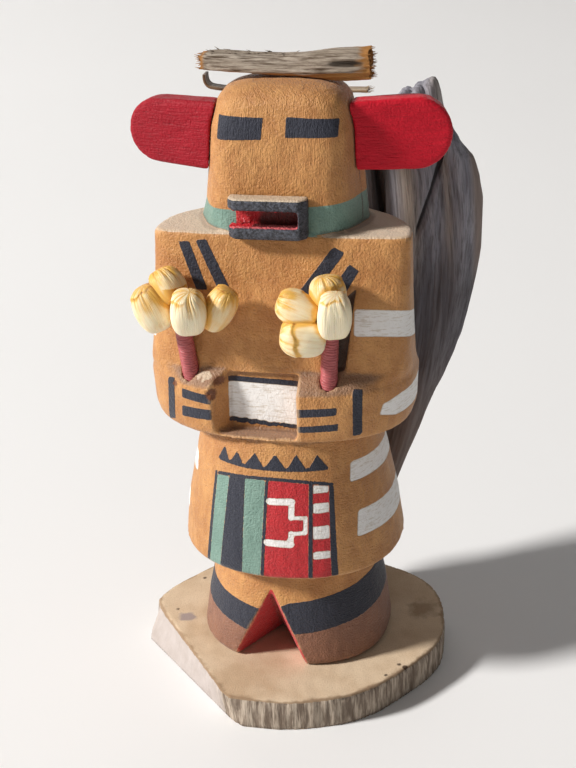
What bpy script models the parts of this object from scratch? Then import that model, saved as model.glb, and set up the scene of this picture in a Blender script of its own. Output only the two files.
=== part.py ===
"""A carved and painted wooden doll on a slab of root wood, with driftwood standing behind it.

Metres, +Z up. The doll faces -Y and the origin is under the middle of the slab.
"""

from collections import namedtuple
from math import cos, pi, radians, sin

import bmesh
import bpy
from mathutils import Matrix, Vector

MM = 0.001
GAP = 0.0003  # left between two pieces that touch

FIGURE_HEIGHT = 0.2045  # from the soles to the crown
CARVED_HEIGHT = 204.5  # the height, in millimetres, for which the carving sizes are given
FIGURE_SIDES = 48
CROWN_STEPS = 5
CROWN_FULLNESS = 0.62  # 1 is a plain dome, less is squarer
HEM = 40.6  # carving height of the kilt's widest place

SLAB_THICKNESS = 0.012
SLAB_HALF_WIDTH = 0.057
SLAB_HALF_DEPTH = 0.050
SLAB_CENTRE = Vector((-0.002, -0.003))
SLAB_EDGE = 0.0009  # worn corner of the top face
SLAB_FLARE = 0.0015  # how far the left side leans out at the bottom
# How far the slab's outline reaches at every 30 degrees from +X, as shares of its ellipse.
SLAB_REACH = (1.01, 1.06, 0.985, 0.97, 0.93, 0.9, 0.96, 1.05, 1.05, 1.01, 0.99, 0.95)
SLAB_SIDES = 72
# The sawn facet at the front left twists a little: the way it faces, and how far it stands
# from the slab's centre, at the bottom and at the top.
FACET_BOTTOM = (radians(225), 0.0432)
FACET_TOP = (radians(216), 0.0420)

BELT_LEFT = -16.6  # carving sizes, in millimetres at CARVED_HEIGHT
BELT_RIGHT = 6.8
BELT_WALL_SLANT = 0.85  # sideways run of the left wall for each millimetre forwards
BELT_FLOOR = 91.0
BELT_TOP = 112.0
BELT_FACE = -24.4
BELT_FACE_LEAN = 1.6

NOTCH_LEFT = -19.6
NOTCH_RIGHT = 8.4
NOTCH_FRONT = -31.5
NOTCH_APEX_X = -4.2
NOTCH_APEX = 32.5
NOTCH_INNER_Y = -8.0

SNOUT_WIDTH = 0.0256
SNOUT_HEIGHT = 0.0134
SNOUT_PROUD = 0.0062  # how far it stands out from the face
SNOUT_X = -0.0027
SNOUT_FOOT = 157.2  # carving height of its underside
SNOUT_LIP = 0.0040
SNOUT_POST = 0.0028
SNOUT_CORNER = 0.0024
SNOUT_EDGE = 0.0004
SNOUT_ROOT = 0.004  # how far it runs on into the face before it is cut to it
SNOUT_SEAT = 161.2  # carving height at which its stand-out is measured

EAR_LENGTH = 0.0284  # from the side of the head to the tip
EAR_HEIGHT = 0.0220
EAR_THICKNESS = 0.0088
EAR_EDGE = 0.0011
EAR_ROOT = 0.008
EAR_SWEEP = radians(12)
EAR_MIDDLE = 186.2  # carving height of the middle of the root
EAR_SHIFT = 0.0010  # how far the pair sits towards the left hand
# The two boards differ: side, heights at the tip and the root as shares of EAR_HEIGHT, how
# much higher it sits in carving millimetres, and how many degrees its tip is raised.
EARS = {
    "right_ear": (-1, 0.955, 1.03, 0.0, 2.0),
    "left_ear": (1, 1.04, 0.98, 0.9, 0.5),
}
EAR_Y = -0.0035
EAR_ARC_STEPS = 14

STEM_RADIUS = 0.0026
STEM_TAPER = 0.86  # radius at the foot, as a share
STEM_LENGTH = 0.0365
STEM_SOCKET = 0.0075  # depth of the hole in the hand
STEM_SIDES = 16
STEM_SETBACK = 3.4  # carving distance of a stem behind the front edge of the hand
STEM_RIGHT_X = -29.8  # carving places of the stems across the figure
STEM_LEFT_X = 17.0
STEM_RIGHT_NOD = radians(10)  # forwards
STEM_LEFT_NOD = radians(6)
STEM_SPREAD = radians(3)  # outwards
HAND_EDGE = 108.6  # carving heights of the front edge of a hand and of its hole
HAND_HOLE = 110.4

BUD_STEPS = 9
BUD_SIDES = 16
BUD_FULLNESS = 0.82  # 1 is an ellipse, less is squarer

SPLINT_LENGTH = 0.0540
SPLINT_HEIGHT = 0.0064  # at its middle
SPLINT_DEPTH = 0.0104
SPLINT_SEAT = 0.0006  # how deep the crown sits in its underside
SPLINT_X = 0.0008
SPLINT_SLOPE = radians(1.2)
SPLINT_SIDES = 22
SPLINT_RINGS = 15
SPLINT_SQUARE = 3.2  # 2 is round, more is squarer
SPLINT_BREAK = 0.0004  # how far its broken ends run in and out

HUSK_WIDTH = 0.0055
HUSK_THICKNESS = 0.0009

DRIFTWOOD_HEIGHT = 0.1910
DRIFTWOOD_SIDES = 32
DRIFTWOOD_RINGS = 26
DRIFTWOOD_RIB = 0.20  # depth of its lengthwise hollows, as a share of its own depth
DRIFTWOOD_RAGGED = 0.0026  # how far its broken top runs up and down
DRIFTWOOD_BREAK = 0.9  # share of its height where the broken top begins
DRIFTWOOD_CLEAR = 0.0006  # behind the back of the figure

OCHRE = (0.56, 0.29, 0.10)
RED = (0.48, 0.02, 0.04)
CHARCOAL = (0.05, 0.05, 0.07)
PALE_WOOD = (0.62, 0.44, 0.27)
GREY_WOOD = (0.16, 0.14, 0.13)
SPLINT_GREY = (0.30, 0.25, 0.20)
THREAD_RED = (0.38, 0.09, 0.10)
HUSK_CREAM = (0.86, 0.74, 0.48)

Plan = namedtuple("Plan", "height width front middle back front_square back_square narrowing shift")
Bud = namedtuple("Bud", "name centre length radius lean turn")

# The figure's plans from the soles up, in millimetres at CARVED_HEIGHT: half width, then
# where the front, the widest place and the back lie. Two plans at one height make a step.
FIGURE_PLANS = (
    Plan(0.0, 33.8, -31.4, 0.0, 29.2, 2.4, 2.2, 0.0, 0.3),  # sole
    Plan(1.8, 34.9, -32.6, 0.0, 30.0, 2.4, 2.2, 0.0, 0.3),
    Plan(15.0, 33.2, -31.4, 0.0, 29.0, 2.35, 2.2, 0.0, 0.5),  # top of the boots
    Plan(39.0, 28.2, -28.4, 0.0, 26.6, 2.2, 2.2, 0.0, 0.9),  # under the kilt
    Plan(39.0, 38.5, -35.6, 0.0, 33.0, 2.2, 2.15, 0.0, -0.1),  # hem
    Plan(HEM, 39.6, -36.7, 0.0, 34.0, 2.2, 2.15, 0.0, -0.1),
    Plan(55.0, 38.0, -35.0, 0.0, 32.4, 2.2, 2.15, 0.0, -0.4),
    Plan(90.0, 30.5, -29.2, 0.0, 26.6, 2.2, 2.15, 0.0, -0.4),  # waist
    Plan(90.0, 42.4, -31.0, -1.0, 28.4, 2.35, 2.2, 0.0, -2.0),  # under the arms
    Plan(91.2, 44.4, -31.8, -1.0, 29.4, 2.4, 2.2, 0.0, -2.0),
    Plan(95.0, 45.6, -32.0, -1.0, 30.0, 2.4, 2.2, 0.0, -2.0),
    Plan(107.0, 46.0, -31.6, -2.0, 30.0, 2.5, 2.2, 0.0, -1.8),
    Plan(108.6, 45.4, -30.4, -2.4, 29.8, 2.6, 2.2, 0.0, -1.8),  # top of the hands
    Plan(112.6, 44.6, -24.2, -4.0, 29.0, 4.4, 2.2, 0.0, -1.5),
    Plan(130.0, 43.2, -21.6, -7.0, 26.0, 4.8, 2.1, 0.0, -0.6),
    Plan(156.6, 42.0, -17.8, -11.6, 19.2, 5.0, 2.0, 0.0, 0.3),
    Plan(157.6, 41.2, -17.1, -11.6, 18.6, 5.0, 2.0, 0.0, 0.3),  # shoulders
    Plan(157.6, 28.0, -16.9, 0.0, 16.2, 5.0, 2.5, 0.24, -1.0),  # neck
    Plan(164.0, 26.8, -16.9, 0.0, 16.2, 5.0, 2.5, 0.2, -0.4),
    Plan(190.0, 23.6, -17.0, 0.0, 16.0, 5.0, 2.5, 0.08, 0.2),
    Plan(196.5, 21.6, -16.4, 0.0, 15.4, 4.4, 2.4, 0.04, 0.5),  # where the crown begins
)

# Centre, length and radius in millimetres from the top of the hand, on the stem's axis.
# A bud leans away from upright towards a compass turn, where 0 is +X and 90 is -Y.
RIGHT_HAND_BUDS = (
    Bud("3", (3.2, -10.0, 26.0), 15.4, 5.7, radians(14), radians(80)),
    Bud("2", (-10.0, -5.6, 25.0), 16.0, 6.0, radians(22), radians(172)),
    Bud("4", (12.0, -5.0, 25.6), 15.8, 5.3, radians(30), radians(5)),
    Bud("1", (-5.4, -2.6, 31.6), 12.4, 5.7, radians(38), radians(205)),
)
LEFT_HAND_BUDS = (
    Bud("4", (3.4, -8.6, 27.4), 15.4, 5.3, radians(12), radians(80)),
    Bud("2", (-9.0, -4.6, 27.4), 14.2, 5.4, radians(64), radians(178)),
    Bud("3", (-7.2, -5.6, 18.6), 15.0, 6.2, radians(80), radians(170)),
    Bud("1", (0.0, -0.6, 31.4), 12.0, 5.8, radians(12), radians(200)),
)

# Along the splint from its left end: height and depth as shares, and how far its middle rises.
SPLINT_STATIONS = (
    (0.00, 0.84, 0.80, 0.0022),
    (0.12, 0.98, 0.96, 0.0021),
    (0.35, 0.96, 1.00, 0.0010),
    (0.60, 1.14, 1.00, 0.0008),
    (0.82, 1.50, 1.04, 0.0010),
    (1.00, 1.60, 0.90, 0.0011),
)

# The husk's run behind the head, in millimetres across the figure and up from the crown.
HUSK_RUN = (
    (-30.0, -3.8),
    (-30.4, -7.6),
    (-25.0, -8.7),
    (-8.0, -9.3),
    (8.0, -9.3),
    (19.3, -8.4),
    (24.5, -8.7),
)

# Up the driftwood from its foot: share of height, left and right edge, depth, and how far its
# front stands behind the back of the kilt, in millimetres.
DRIFTWOOD_STATIONS = (
    (0.00, 3.0, 21.0, 9.0, -3.2),
    (0.12, 6.0, 26.0, 10.0, -3.0),
    (0.21, 8.0, 33.0, 12.0, 0.5),
    (0.32, 10.0, 41.3, 15.0, 0.8),
    (0.42, 11.0, 49.0, 18.0, 0.8),
    (0.52, 12.0, 55.6, 20.0, 0.8),
    (0.64, 13.0, 60.0, 21.0, 0.2),
    (0.76, 14.0, 62.0, 21.0, -1.0),
    (0.87, 16.0, 59.0, 19.0, -2.0),
    (0.93, 22.0, 50.0, 15.0, -2.0),
    (1.00, 33.0, 44.5, 9.0, -1.0),
)


def clear_scene():
    for leftover in list(bpy.data.objects):
        bpy.data.objects.remove(leftover)


def make_collection(name):
    collection = bpy.data.collections.new(name)
    bpy.context.scene.collection.children.link(collection)
    return collection


def paint(name, colour, roughness):
    material = bpy.data.materials.new(name)
    material.use_nodes = True
    shader = material.node_tree.nodes["Principled BSDF"]
    shader.inputs["Base Color"].default_value = (*colour, 1.0)
    shader.inputs["Roughness"].default_value = roughness
    shader.inputs["Metallic"].default_value = 0.0
    return material


def add_object(name, mesh, collection, material=None):
    piece = bpy.data.objects.new(name, mesh)
    collection.objects.link(piece)
    if material:
        mesh.materials.append(material)
    mesh.shade_smooth()
    mesh.set_sharp_from_angle(angle=radians(35))
    return piece


def as_cutter(piece):
    piece.hide_render = True
    piece.display_type = "WIRE"
    return piece


def cut(piece, cutter):
    boolean = piece.modifiers.new("cut by " + cutter.name, "BOOLEAN")
    boolean.operation = "DIFFERENCE"
    boolean.solver = "EXACT"
    boolean.object = cutter


def carved(millimetres):
    """A carving size, given in millimetres at CARVED_HEIGHT, in metres on the figure as it is."""
    return millimetres * FIGURE_HEIGHT / CARVED_HEIGHT


def power(value, exponent):
    """A signed power, which squares off a circle's sine and cosine."""
    return (1 if value >= 0 else -1) * abs(value) ** exponent


def slope_at(stations, place, column):
    """How fast a column changes at a station, measured from its neighbours."""
    before = stations[max(place - 1, 0)]
    after = stations[min(place + 1, len(stations) - 1)]
    return (after[column] - before[column]) / (after[0] - before[0])


def through(stations, at):
    """Values on smooth curves through the stations, whose first column is the place."""
    place = 0
    while place < len(stations) - 2 and at > stations[place + 1][0]:
        place += 1
    low, high = stations[place], stations[place + 1]
    span = high[0] - low[0]
    share = (at - low[0]) / span
    values = []
    for column in range(1, len(low)):
        leaving = slope_at(stations, place, column) * span
        arriving = slope_at(stations, place + 1, column) * span
        change = high[column] - low[column]
        bend = (leaving + arriving - 2 * change) * share + 3 * change - 2 * leaving - arriving
        values.append(low[column] + leaving * share + bend * share**2)
    return values


def plan_at(height):
    """The figure's plan at a carving height."""
    for low, high in zip(FIGURE_PLANS, FIGURE_PLANS[1:]):
        if low.height <= height <= high.height and high.height > low.height:
            share = (height - low.height) / (high.height - low.height)
            return Plan(*(a + (b - a) * share for a, b in zip(low, high)))
    return FIGURE_PLANS[-1]


def plan_ring(plan, grow=0.0, shrink=1.0, height=None):
    """The plan's outline as points in metres, wider all round by grow."""
    if height is None:
        height = figure_foot() + carved(plan.height)
    ring = []
    for step in range(FIGURE_SIDES):
        angle = 2 * pi * step / FIGURE_SIDES
        square = plan.front_square if sin(angle) < 0 else plan.back_square
        across = power(cos(angle), 2 / square)
        along = power(sin(angle), 2 / square)
        reach = plan.middle - plan.front if along < 0 else plan.back - plan.middle
        width = plan.width * (1 - plan.narrowing * max(0.0, -along))
        x = carved(plan.shift) + (carved(width) * shrink + grow) * across
        y = carved(plan.middle) + (carved(reach) * shrink + grow) * along
        ring.append(Vector((x, y, height)))
    return ring


def figure_foot():
    return SLAB_THICKNESS + GAP


def crown_height():
    return figure_foot() + FIGURE_HEIGHT


def figure_rings(grow):
    """The figure's sections from the soles to the crown, whose dome is a quarter of an ellipse."""
    rings = [plan_ring(plan, grow) for plan in FIGURE_PLANS]
    top = FIGURE_PLANS[-1]
    base = figure_foot() + carved(top.height)
    last = pi / 2 * CROWN_STEPS / (CROWN_STEPS + 0.5)
    for step in range(1, CROWN_STEPS + 1):
        angle = last * step / CROWN_STEPS
        height = base + (crown_height() - base + grow) * sin(angle) / sin(last)
        rings.append(plan_ring(top, grow, cos(angle) ** CROWN_FULLNESS, height))
    if grow:
        rings[0] = [point - Vector((0, 0, grow)) for point in rings[0]]
    return rings


def loft(rings):
    """A closed skin through rings of equal point count, each end closed by a fan."""
    shape = bmesh.new()
    rows = [[shape.verts.new(point) for point in ring] for ring in rings]
    for low, high in zip(rows, rows[1:]):
        for step, corner in enumerate(low):
            after = (step + 1) % len(low)
            shape.faces.new((corner, low[after], high[after], high[step]))
    for row in (rows[0], rows[-1]):
        middle = shape.verts.new(sum((corner.co for corner in row), Vector()) / len(row))
        for step, corner in enumerate(row):
            shape.faces.new((corner, row[(step + 1) % len(row)], middle))
    bmesh.ops.recalc_face_normals(shape, faces=shape.faces)
    mesh = bpy.data.meshes.new("loft")
    shape.to_mesh(mesh)
    shape.free()
    return mesh


def hull(points):
    """The solid that just holds the points."""
    shape = bmesh.new()
    corners = [shape.verts.new(point) for point in points]
    bmesh.ops.convex_hull(shape, input=corners)
    bmesh.ops.recalc_face_normals(shape, faces=shape.faces)
    mesh = bpy.data.meshes.new("hull")
    shape.to_mesh(mesh)
    shape.free()
    return mesh


def board(outline, thickness, edge=0.0):
    """A flat outline in X and Y with its thickness along Z, and its edges rounded."""
    curve = bpy.data.curves.new("outline", "CURVE")
    curve.dimensions = "2D"
    curve.fill_mode = "BOTH"
    curve.extrude = thickness / 2 - edge
    curve.bevel_depth = edge
    curve.bevel_resolution = 1
    curve.offset = -edge
    spline = curve.splines.new("POLY")
    spline.points.add(len(outline) - 1)
    for point, place in zip(spline.points, outline):
        point.co = (*place, 0.0, 1.0)
    spline.use_cyclic_u = True
    holder = bpy.data.objects.new("outline", curve)
    bpy.context.scene.collection.objects.link(holder)
    mesh = bpy.data.meshes.new_from_object(holder.evaluated_get(bpy.context.evaluated_depsgraph_get()))
    bpy.data.objects.remove(holder)
    shape = bmesh.new()
    shape.from_mesh(mesh)
    bmesh.ops.remove_doubles(shape, verts=shape.verts, dist=0.00002)
    bmesh.ops.recalc_face_normals(shape, faces=shape.faces)
    shape.to_mesh(mesh)
    shape.free()
    return mesh


def rod(radius_foot, radius_head, length, sides):
    """A round rod from the origin up +Z."""
    shape = bmesh.new()
    bmesh.ops.create_cone(
        shape,
        cap_ends=True,
        segments=sides,
        radius1=radius_foot,
        radius2=radius_head,
        depth=length,
        matrix=Matrix.Translation((0, 0, length / 2)),
    )
    mesh = bpy.data.meshes.new("rod")
    shape.to_mesh(mesh)
    shape.free()
    return mesh


def slab_radius(angle):
    """Distance from the slab's centre to its outline, smooth through the named reaches."""
    ellipse = 1 / ((cos(angle) / SLAB_HALF_WIDTH) ** 2 + (sin(angle) / SLAB_HALF_DEPTH) ** 2) ** 0.5
    place = angle / (2 * pi) * len(SLAB_REACH)
    first = int(place)
    share = place - first
    share = share * share * (3 - 2 * share)
    near = SLAB_REACH[first % len(SLAB_REACH)]
    far = SLAB_REACH[(first + 1) % len(SLAB_REACH)]
    return ellipse * (near + (far - near) * share)


def slab_ring(height, inset):
    share = height / SLAB_THICKNESS
    facing, distance = (low + (high - low) * share for low, high in zip(FACET_BOTTOM, FACET_TOP))
    ring = []
    for step in range(SLAB_SIDES):
        angle = 2 * pi * step / SLAB_SIDES
        lean = SLAB_FLARE * max(0.0, cos(angle - radians(175))) * (1 - share)
        radius = slab_radius(angle) + lean
        if cos(angle - facing) > 0:
            radius = min(radius, distance / cos(angle - facing))
        radius -= inset
        out = Vector((cos(angle), sin(angle)))
        ring.append((SLAB_CENTRE + radius * out).to_3d() + Vector((0, 0, height)))
    return ring


def make_slab(parts):
    mesh = loft(
        [
            slab_ring(0.0, SLAB_EDGE / 2),
            slab_ring(SLAB_EDGE, 0.0),
            slab_ring(SLAB_THICKNESS - SLAB_EDGE, 0.0),
            slab_ring(SLAB_THICKNESS, SLAB_EDGE),
        ]
    )
    add_object("base_slab", mesh, parts, paint("pale root wood", PALE_WOOD, 0.75))


def belt_space():
    """The recess between the hands, whose left wall closes in towards the belt."""
    front = carved(BELT_FACE) * 2
    corners = []
    for height, back in ((BELT_FLOOR, BELT_FACE), (BELT_TOP, BELT_FACE + BELT_FACE_LEAN)):
        z = figure_foot() + carved(height)
        spread = carved(back) - front
        corners.append((carved(BELT_LEFT), carved(back), z))
        corners.append((carved(BELT_RIGHT), carved(back), z))
        corners.append((carved(BELT_LEFT) - spread * BELT_WALL_SLANT, front, z))
        corners.append((carved(BELT_RIGHT), front, z))
    return hull(corners)


def notch_space():
    """The gap between the feet: widest at the floor in front, closing upwards and inwards."""
    floor = figure_foot()
    middle = carved(NOTCH_APEX_X)
    back = Vector((middle, carved(NOTCH_INNER_Y), floor))
    apex = Vector((middle, carved(NOTCH_FRONT), floor + carved(NOTCH_APEX)))
    left = Vector((carved(NOTCH_LEFT), carved(NOTCH_FRONT), floor))
    right = Vector((carved(NOTCH_RIGHT), carved(NOTCH_FRONT), floor))
    # The same four planes, run on in front of the toes and under the soles.
    far = [back + (corner - back) * 2 for corner in (left, right, apex)]
    under = [corner + (corner - far[2]) * 0.2 for corner in far[:2]]
    return hull((back, *far, *under, back + (back - far[2]) * 0.2))


def front_at(plan, across):
    """Y of the figure's front, in carving millimetres, at a distance across the figure."""
    share = min(abs(across - plan.shift) / plan.width, 1.0) ** plan.front_square
    return plan.middle - (plan.middle - plan.front) * (1 - share) ** (1 / plan.front_square)


def stem_foot(side):
    """Where a stem's axis meets the top of a hand; side is -1 for the figure's right hand."""
    hand = plan_at(HAND_EDGE)
    across = STEM_RIGHT_X if side < 0 else STEM_LEFT_X
    y = front_at(hand, across) + STEM_SETBACK
    return Vector((carved(across), carved(y), figure_foot() + carved(HAND_HOLE)))


def stem_matrix(side):
    """A stem's own frame: its foot at the bottom of the hole, its axis along Z."""
    forwards = Matrix.Rotation(STEM_RIGHT_NOD if side < 0 else STEM_LEFT_NOD, 4, "X")
    outwards = Matrix.Rotation(STEM_SPREAD * side, 4, "Y")
    down = Matrix.Translation((0, 0, -STEM_SOCKET))
    return Matrix.Translation(stem_foot(side)) @ forwards @ outwards @ down


def make_figure(parts, cutters):
    figure = add_object("figure", loft(figure_rings(0.0)), parts, paint("ochre paint", OCHRE, 0.6))
    cut(figure, as_cutter(add_object("belt_space", belt_space(), cutters)))
    cut(figure, as_cutter(add_object("notch_space", notch_space(), cutters)))
    for side, name in ((-1, "right"), (1, "left")):
        radius = STEM_RADIUS + GAP
        hole = rod(radius, radius, STEM_LENGTH, STEM_SIDES)
        socket = as_cutter(add_object(name + "_socket", hole, cutters))
        socket.matrix_world = stem_matrix(side) @ Matrix.Translation((0, 0, -GAP))
        cut(figure, socket)


def make_snout(parts, cutters, figure_space):
    foot = figure_foot() + carved(SNOUT_FOOT)
    face = carved(plan_at(SNOUT_SEAT).front)
    depth = SNOUT_PROUD + SNOUT_ROOT
    corner = SNOUT_CORNER
    half = SNOUT_WIDTH / 2
    outline = [(-half, depth), (-half, corner), (corner - half, 0)]
    outline += [(-x, y) for x, y in reversed(outline)]
    charcoal = paint("charcoal paint", CHARCOAL, 0.6)
    snout = add_object("snout", board(outline, SNOUT_HEIGHT, SNOUT_EDGE), parts, charcoal)
    snout.location = (SNOUT_X, face - SNOUT_PROUD, foot + SNOUT_HEIGHT / 2)
    slot = bpy.data.meshes.new("slot")
    shape = bmesh.new()
    opening = SNOUT_HEIGHT - 2 * SNOUT_LIP
    width = 2 * SNOUT_WIDTH
    sizes = Matrix.Diagonal((width, 4 * SNOUT_PROUD, opening, 1))
    bmesh.ops.create_cube(shape, size=1.0, matrix=sizes)
    shape.to_mesh(slot)
    shape.free()
    mouth = as_cutter(add_object("mouth_space", slot, cutters))
    mouth.location = snout.location + Vector((half - SNOUT_POST - width / 2, 0, 0))
    cut(snout, mouth)
    cut(snout, figure_space)


def make_ears(parts, figure_space):
    red = paint("red paint", RED, 0.55)
    seat = plan_at(EAR_MIDDLE)
    for name, (side, at_tip, at_root, rise, tip_up) in EARS.items():
        half = EAR_HEIGHT * at_tip / 2
        root_half = EAR_HEIGHT * at_root / 2
        straight = EAR_LENGTH + side * EAR_SHIFT - half
        outline = [(-EAR_ROOT, -root_half), (straight, -half)]
        for step in range(1, EAR_ARC_STEPS):
            angle = -pi / 2 + pi * step / EAR_ARC_STEPS
            outline.append((straight + half * cos(angle), half * sin(angle)))
        outline += [(straight, half), (-EAR_ROOT, root_half)]
        ear = add_object(name, board(outline, EAR_THICKNESS, EAR_EDGE), parts, red)
        root = carved(seat.shift + side * seat.width)
        place = Matrix.Translation((root, EAR_Y, figure_foot() + carved(EAR_MIDDLE + rise)))
        facing = Matrix.Rotation(0 if side > 0 else pi, 4, "Z")
        sweep = Matrix.Rotation(side * EAR_SWEEP, 4, "Z")
        tilt = Matrix.Rotation(-radians(tip_up), 4, "Y")
        upright = Matrix.Rotation(pi / 2, 4, "X")
        ear.matrix_world = place @ sweep @ facing @ tilt @ upright
        cut(ear, figure_space)


def bud_mesh(length, radius, grow=0.0):
    """A rounded bud standing on +Z, with a flatter crown where its husk is folded over."""
    rings = []
    for step in range(BUD_STEPS + 1):
        angle = pi * (step + 0.35) / (BUD_STEPS + 0.7)
        height = -cos(angle) * (length / 2 + grow)
        across = (radius + grow) * sin(angle) ** BUD_FULLNESS
        ring = []
        for side in range(BUD_SIDES):
            turn = 2 * pi * side / BUD_SIDES
            ring.append(Vector((across * cos(turn), across * sin(turn), height)))
        rings.append(ring)
    return loft(rings)


def make_bouquet(side, name, buds, parts, cutters):
    thread = paint("thread " + name, THREAD_RED, 0.6)
    husk = paint("husk " + name, HUSK_CREAM, 0.5)
    frame = stem_matrix(side)
    stem_mesh = rod(STEM_RADIUS * STEM_TAPER, STEM_RADIUS, STEM_LENGTH, STEM_SIDES)
    stem = add_object(name + "_stem", stem_mesh, parts, thread)
    stem.matrix_world = frame
    wide = STEM_RADIUS + GAP
    around = rod(wide, wide, 2 * STEM_LENGTH, STEM_SIDES)
    stem_space = as_cutter(add_object(name + "_stem_space", around, cutters))
    stem_space.matrix_world = frame
    spaces = [stem_space]
    hand = Matrix.Translation(stem_foot(side))
    for bud in buds:
        skin = bud_mesh(bud.length * MM, bud.radius * MM)
        piece = add_object(f"{name}_bud_{bud.name}", skin, parts, husk)
        turn = Matrix.Rotation(-bud.turn, 4, "Z") @ Matrix.Rotation(bud.lean, 4, "Y")
        piece.matrix_world = hand @ Matrix.Translation(Vector(bud.centre) * MM) @ turn
        for space in spaces:
            cut(piece, space)
        wider = bud_mesh(bud.length * MM, bud.radius * MM, GAP)
        space = as_cutter(add_object(piece.name + "_space", wider, cutters))
        space.matrix_world = piece.matrix_world
        spaces.append(space)


def make_splint(parts, figure_space):
    """A broken length of weathered wood, lying across the crown."""
    rings = []
    for step in range(SPLINT_RINGS):
        along = step / (SPLINT_RINGS - 1)
        high, deep, rise = through(SPLINT_STATIONS, along)
        ring = []
        for side in range(SPLINT_SIDES):
            angle = 2 * pi * side / SPLINT_SIDES
            groove = 1 + 0.05 * cos(5 * angle + 4 * along) + 0.04 * sin(3 * angle - 7 * along)
            broken = SPLINT_BREAK * sin(4 * angle + 1) if step in (0, SPLINT_RINGS - 1) else 0.0
            y = SPLINT_DEPTH / 2 * deep * groove * power(cos(angle), 2 / SPLINT_SQUARE)
            z = SPLINT_HEIGHT / 2 * high * groove * power(sin(angle), 2 / SPLINT_SQUARE) + rise
            ring.append(Vector(((along - 0.5) * SPLINT_LENGTH + broken, y, z)))
        rings.append(ring)
    splint = add_object("head_splint", loft(rings), parts, paint("weathered splint", SPLINT_GREY, 0.85))
    splint.location = splint_middle()
    splint.rotation_euler = (0, -SPLINT_SLOPE, 0)
    cut(splint, figure_space)


def splint_middle():
    head = FIGURE_PLANS[-1]
    y = carved((head.front + head.back) / 2)
    return Vector((SPLINT_X, y, crown_height() + SPLINT_HEIGHT / 2 - SPLINT_SEAT))


def make_husk(parts):
    """A thin curl that passes behind the head, with one end turned up."""
    back = carved(FIGURE_PLANS[-1].back) + GAP
    curve = bpy.data.curves.new("husk run", "CURVE")
    curve.dimensions = "3D"
    spline = curve.splines.new("NURBS")
    spline.points.add(len(HUSK_RUN) - 1)
    for point, (x, z) in zip(spline.points, HUSK_RUN):
        point.co = (x * MM, back + HUSK_WIDTH / 2, crown_height() + z * MM, 1.0)
    spline.use_endpoint_u = True
    spline.order_u = 3
    curve.resolution_u = 8
    holder = bpy.data.objects.new("husk run", curve)
    bpy.context.scene.collection.objects.link(holder)
    line = holder.to_mesh()
    shape = bmesh.new()
    rows = []
    for corner in line.vertices:
        low = shape.verts.new(corner.co - Vector((0, HUSK_WIDTH / 2, 0)))
        high = shape.verts.new(corner.co + Vector((0, HUSK_WIDTH / 2, 0)))
        rows.append((low, high))
    for first, second in zip(rows, rows[1:]):
        shape.faces.new((first[0], first[1], second[1], second[0]))
    mesh = bpy.data.meshes.new("husk")
    shape.to_mesh(mesh)
    shape.free()
    holder.to_mesh_clear()
    bpy.data.objects.remove(holder)
    husk = add_object("husk_strip", mesh, parts, paint("dry husk", HUSK_CREAM, 0.7))
    skin = husk.modifiers.new("thickness", "SOLIDIFY")
    skin.thickness = HUSK_THICKNESS
    skin.offset = 0.0


def driftwood_ring(share):
    left, right, depth, behind = (value * MM for value in through(DRIFTWOOD_STATIONS, share))
    height = figure_foot() + share * DRIFTWOOD_HEIGHT
    front = carved(plan_at(HEM).back) + DRIFTWOOD_CLEAR + behind
    top = max(0.0, (share - DRIFTWOOD_BREAK) / (1 - DRIFTWOOD_BREAK))
    ring = []
    for side in range(DRIFTWOOD_SIDES):
        angle = 2 * pi * side / DRIFTWOOD_SIDES
        across = power(cos(angle), 0.85)
        x = (left + right) / 2 + (right - left) / 2 * across
        # Three lengthwise ribs in front and behind, with hollows between them.
        rib = 1 - DRIFTWOOD_RIB * (1 - cos(2.6 * pi * across + 1.1 - 1.5 * share))
        y = front + depth / 2 + depth / 2 * rib * power(sin(angle), 0.85)
        ragged = DRIFTWOOD_RAGGED * top * (cos(2.3 * pi * across - 0.7) + 0.8 * across)
        ring.append(Vector((x, y, height + ragged)))
    return ring


def make_driftwood(parts):
    rings = [driftwood_ring(step / (DRIFTWOOD_RINGS - 1)) for step in range(DRIFTWOOD_RINGS)]
    add_object("driftwood_back", loft(rings), parts, paint("weathered driftwood", GREY_WOOD, 0.8))


def main():
    clear_scene()
    parts = make_collection("carved doll")
    cutters = make_collection("cutters")
    make_slab(parts)
    make_figure(parts, cutters)
    figure_space = as_cutter(add_object("figure_space", loft(figure_rings(GAP)), cutters))
    make_snout(parts, cutters, figure_space)
    make_ears(parts, figure_space)
    make_bouquet(-1, "right", RIGHT_HAND_BUDS, parts, cutters)
    make_bouquet(1, "left", LEFT_HAND_BUDS, parts, cutters)
    make_splint(parts, figure_space)
    make_husk(parts)
    make_driftwood(parts)


main()
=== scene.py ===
from math import cos, pi, radians, sin

import bmesh
import bpy
import numpy as np
from mathutils import Matrix, Vector, noise


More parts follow.
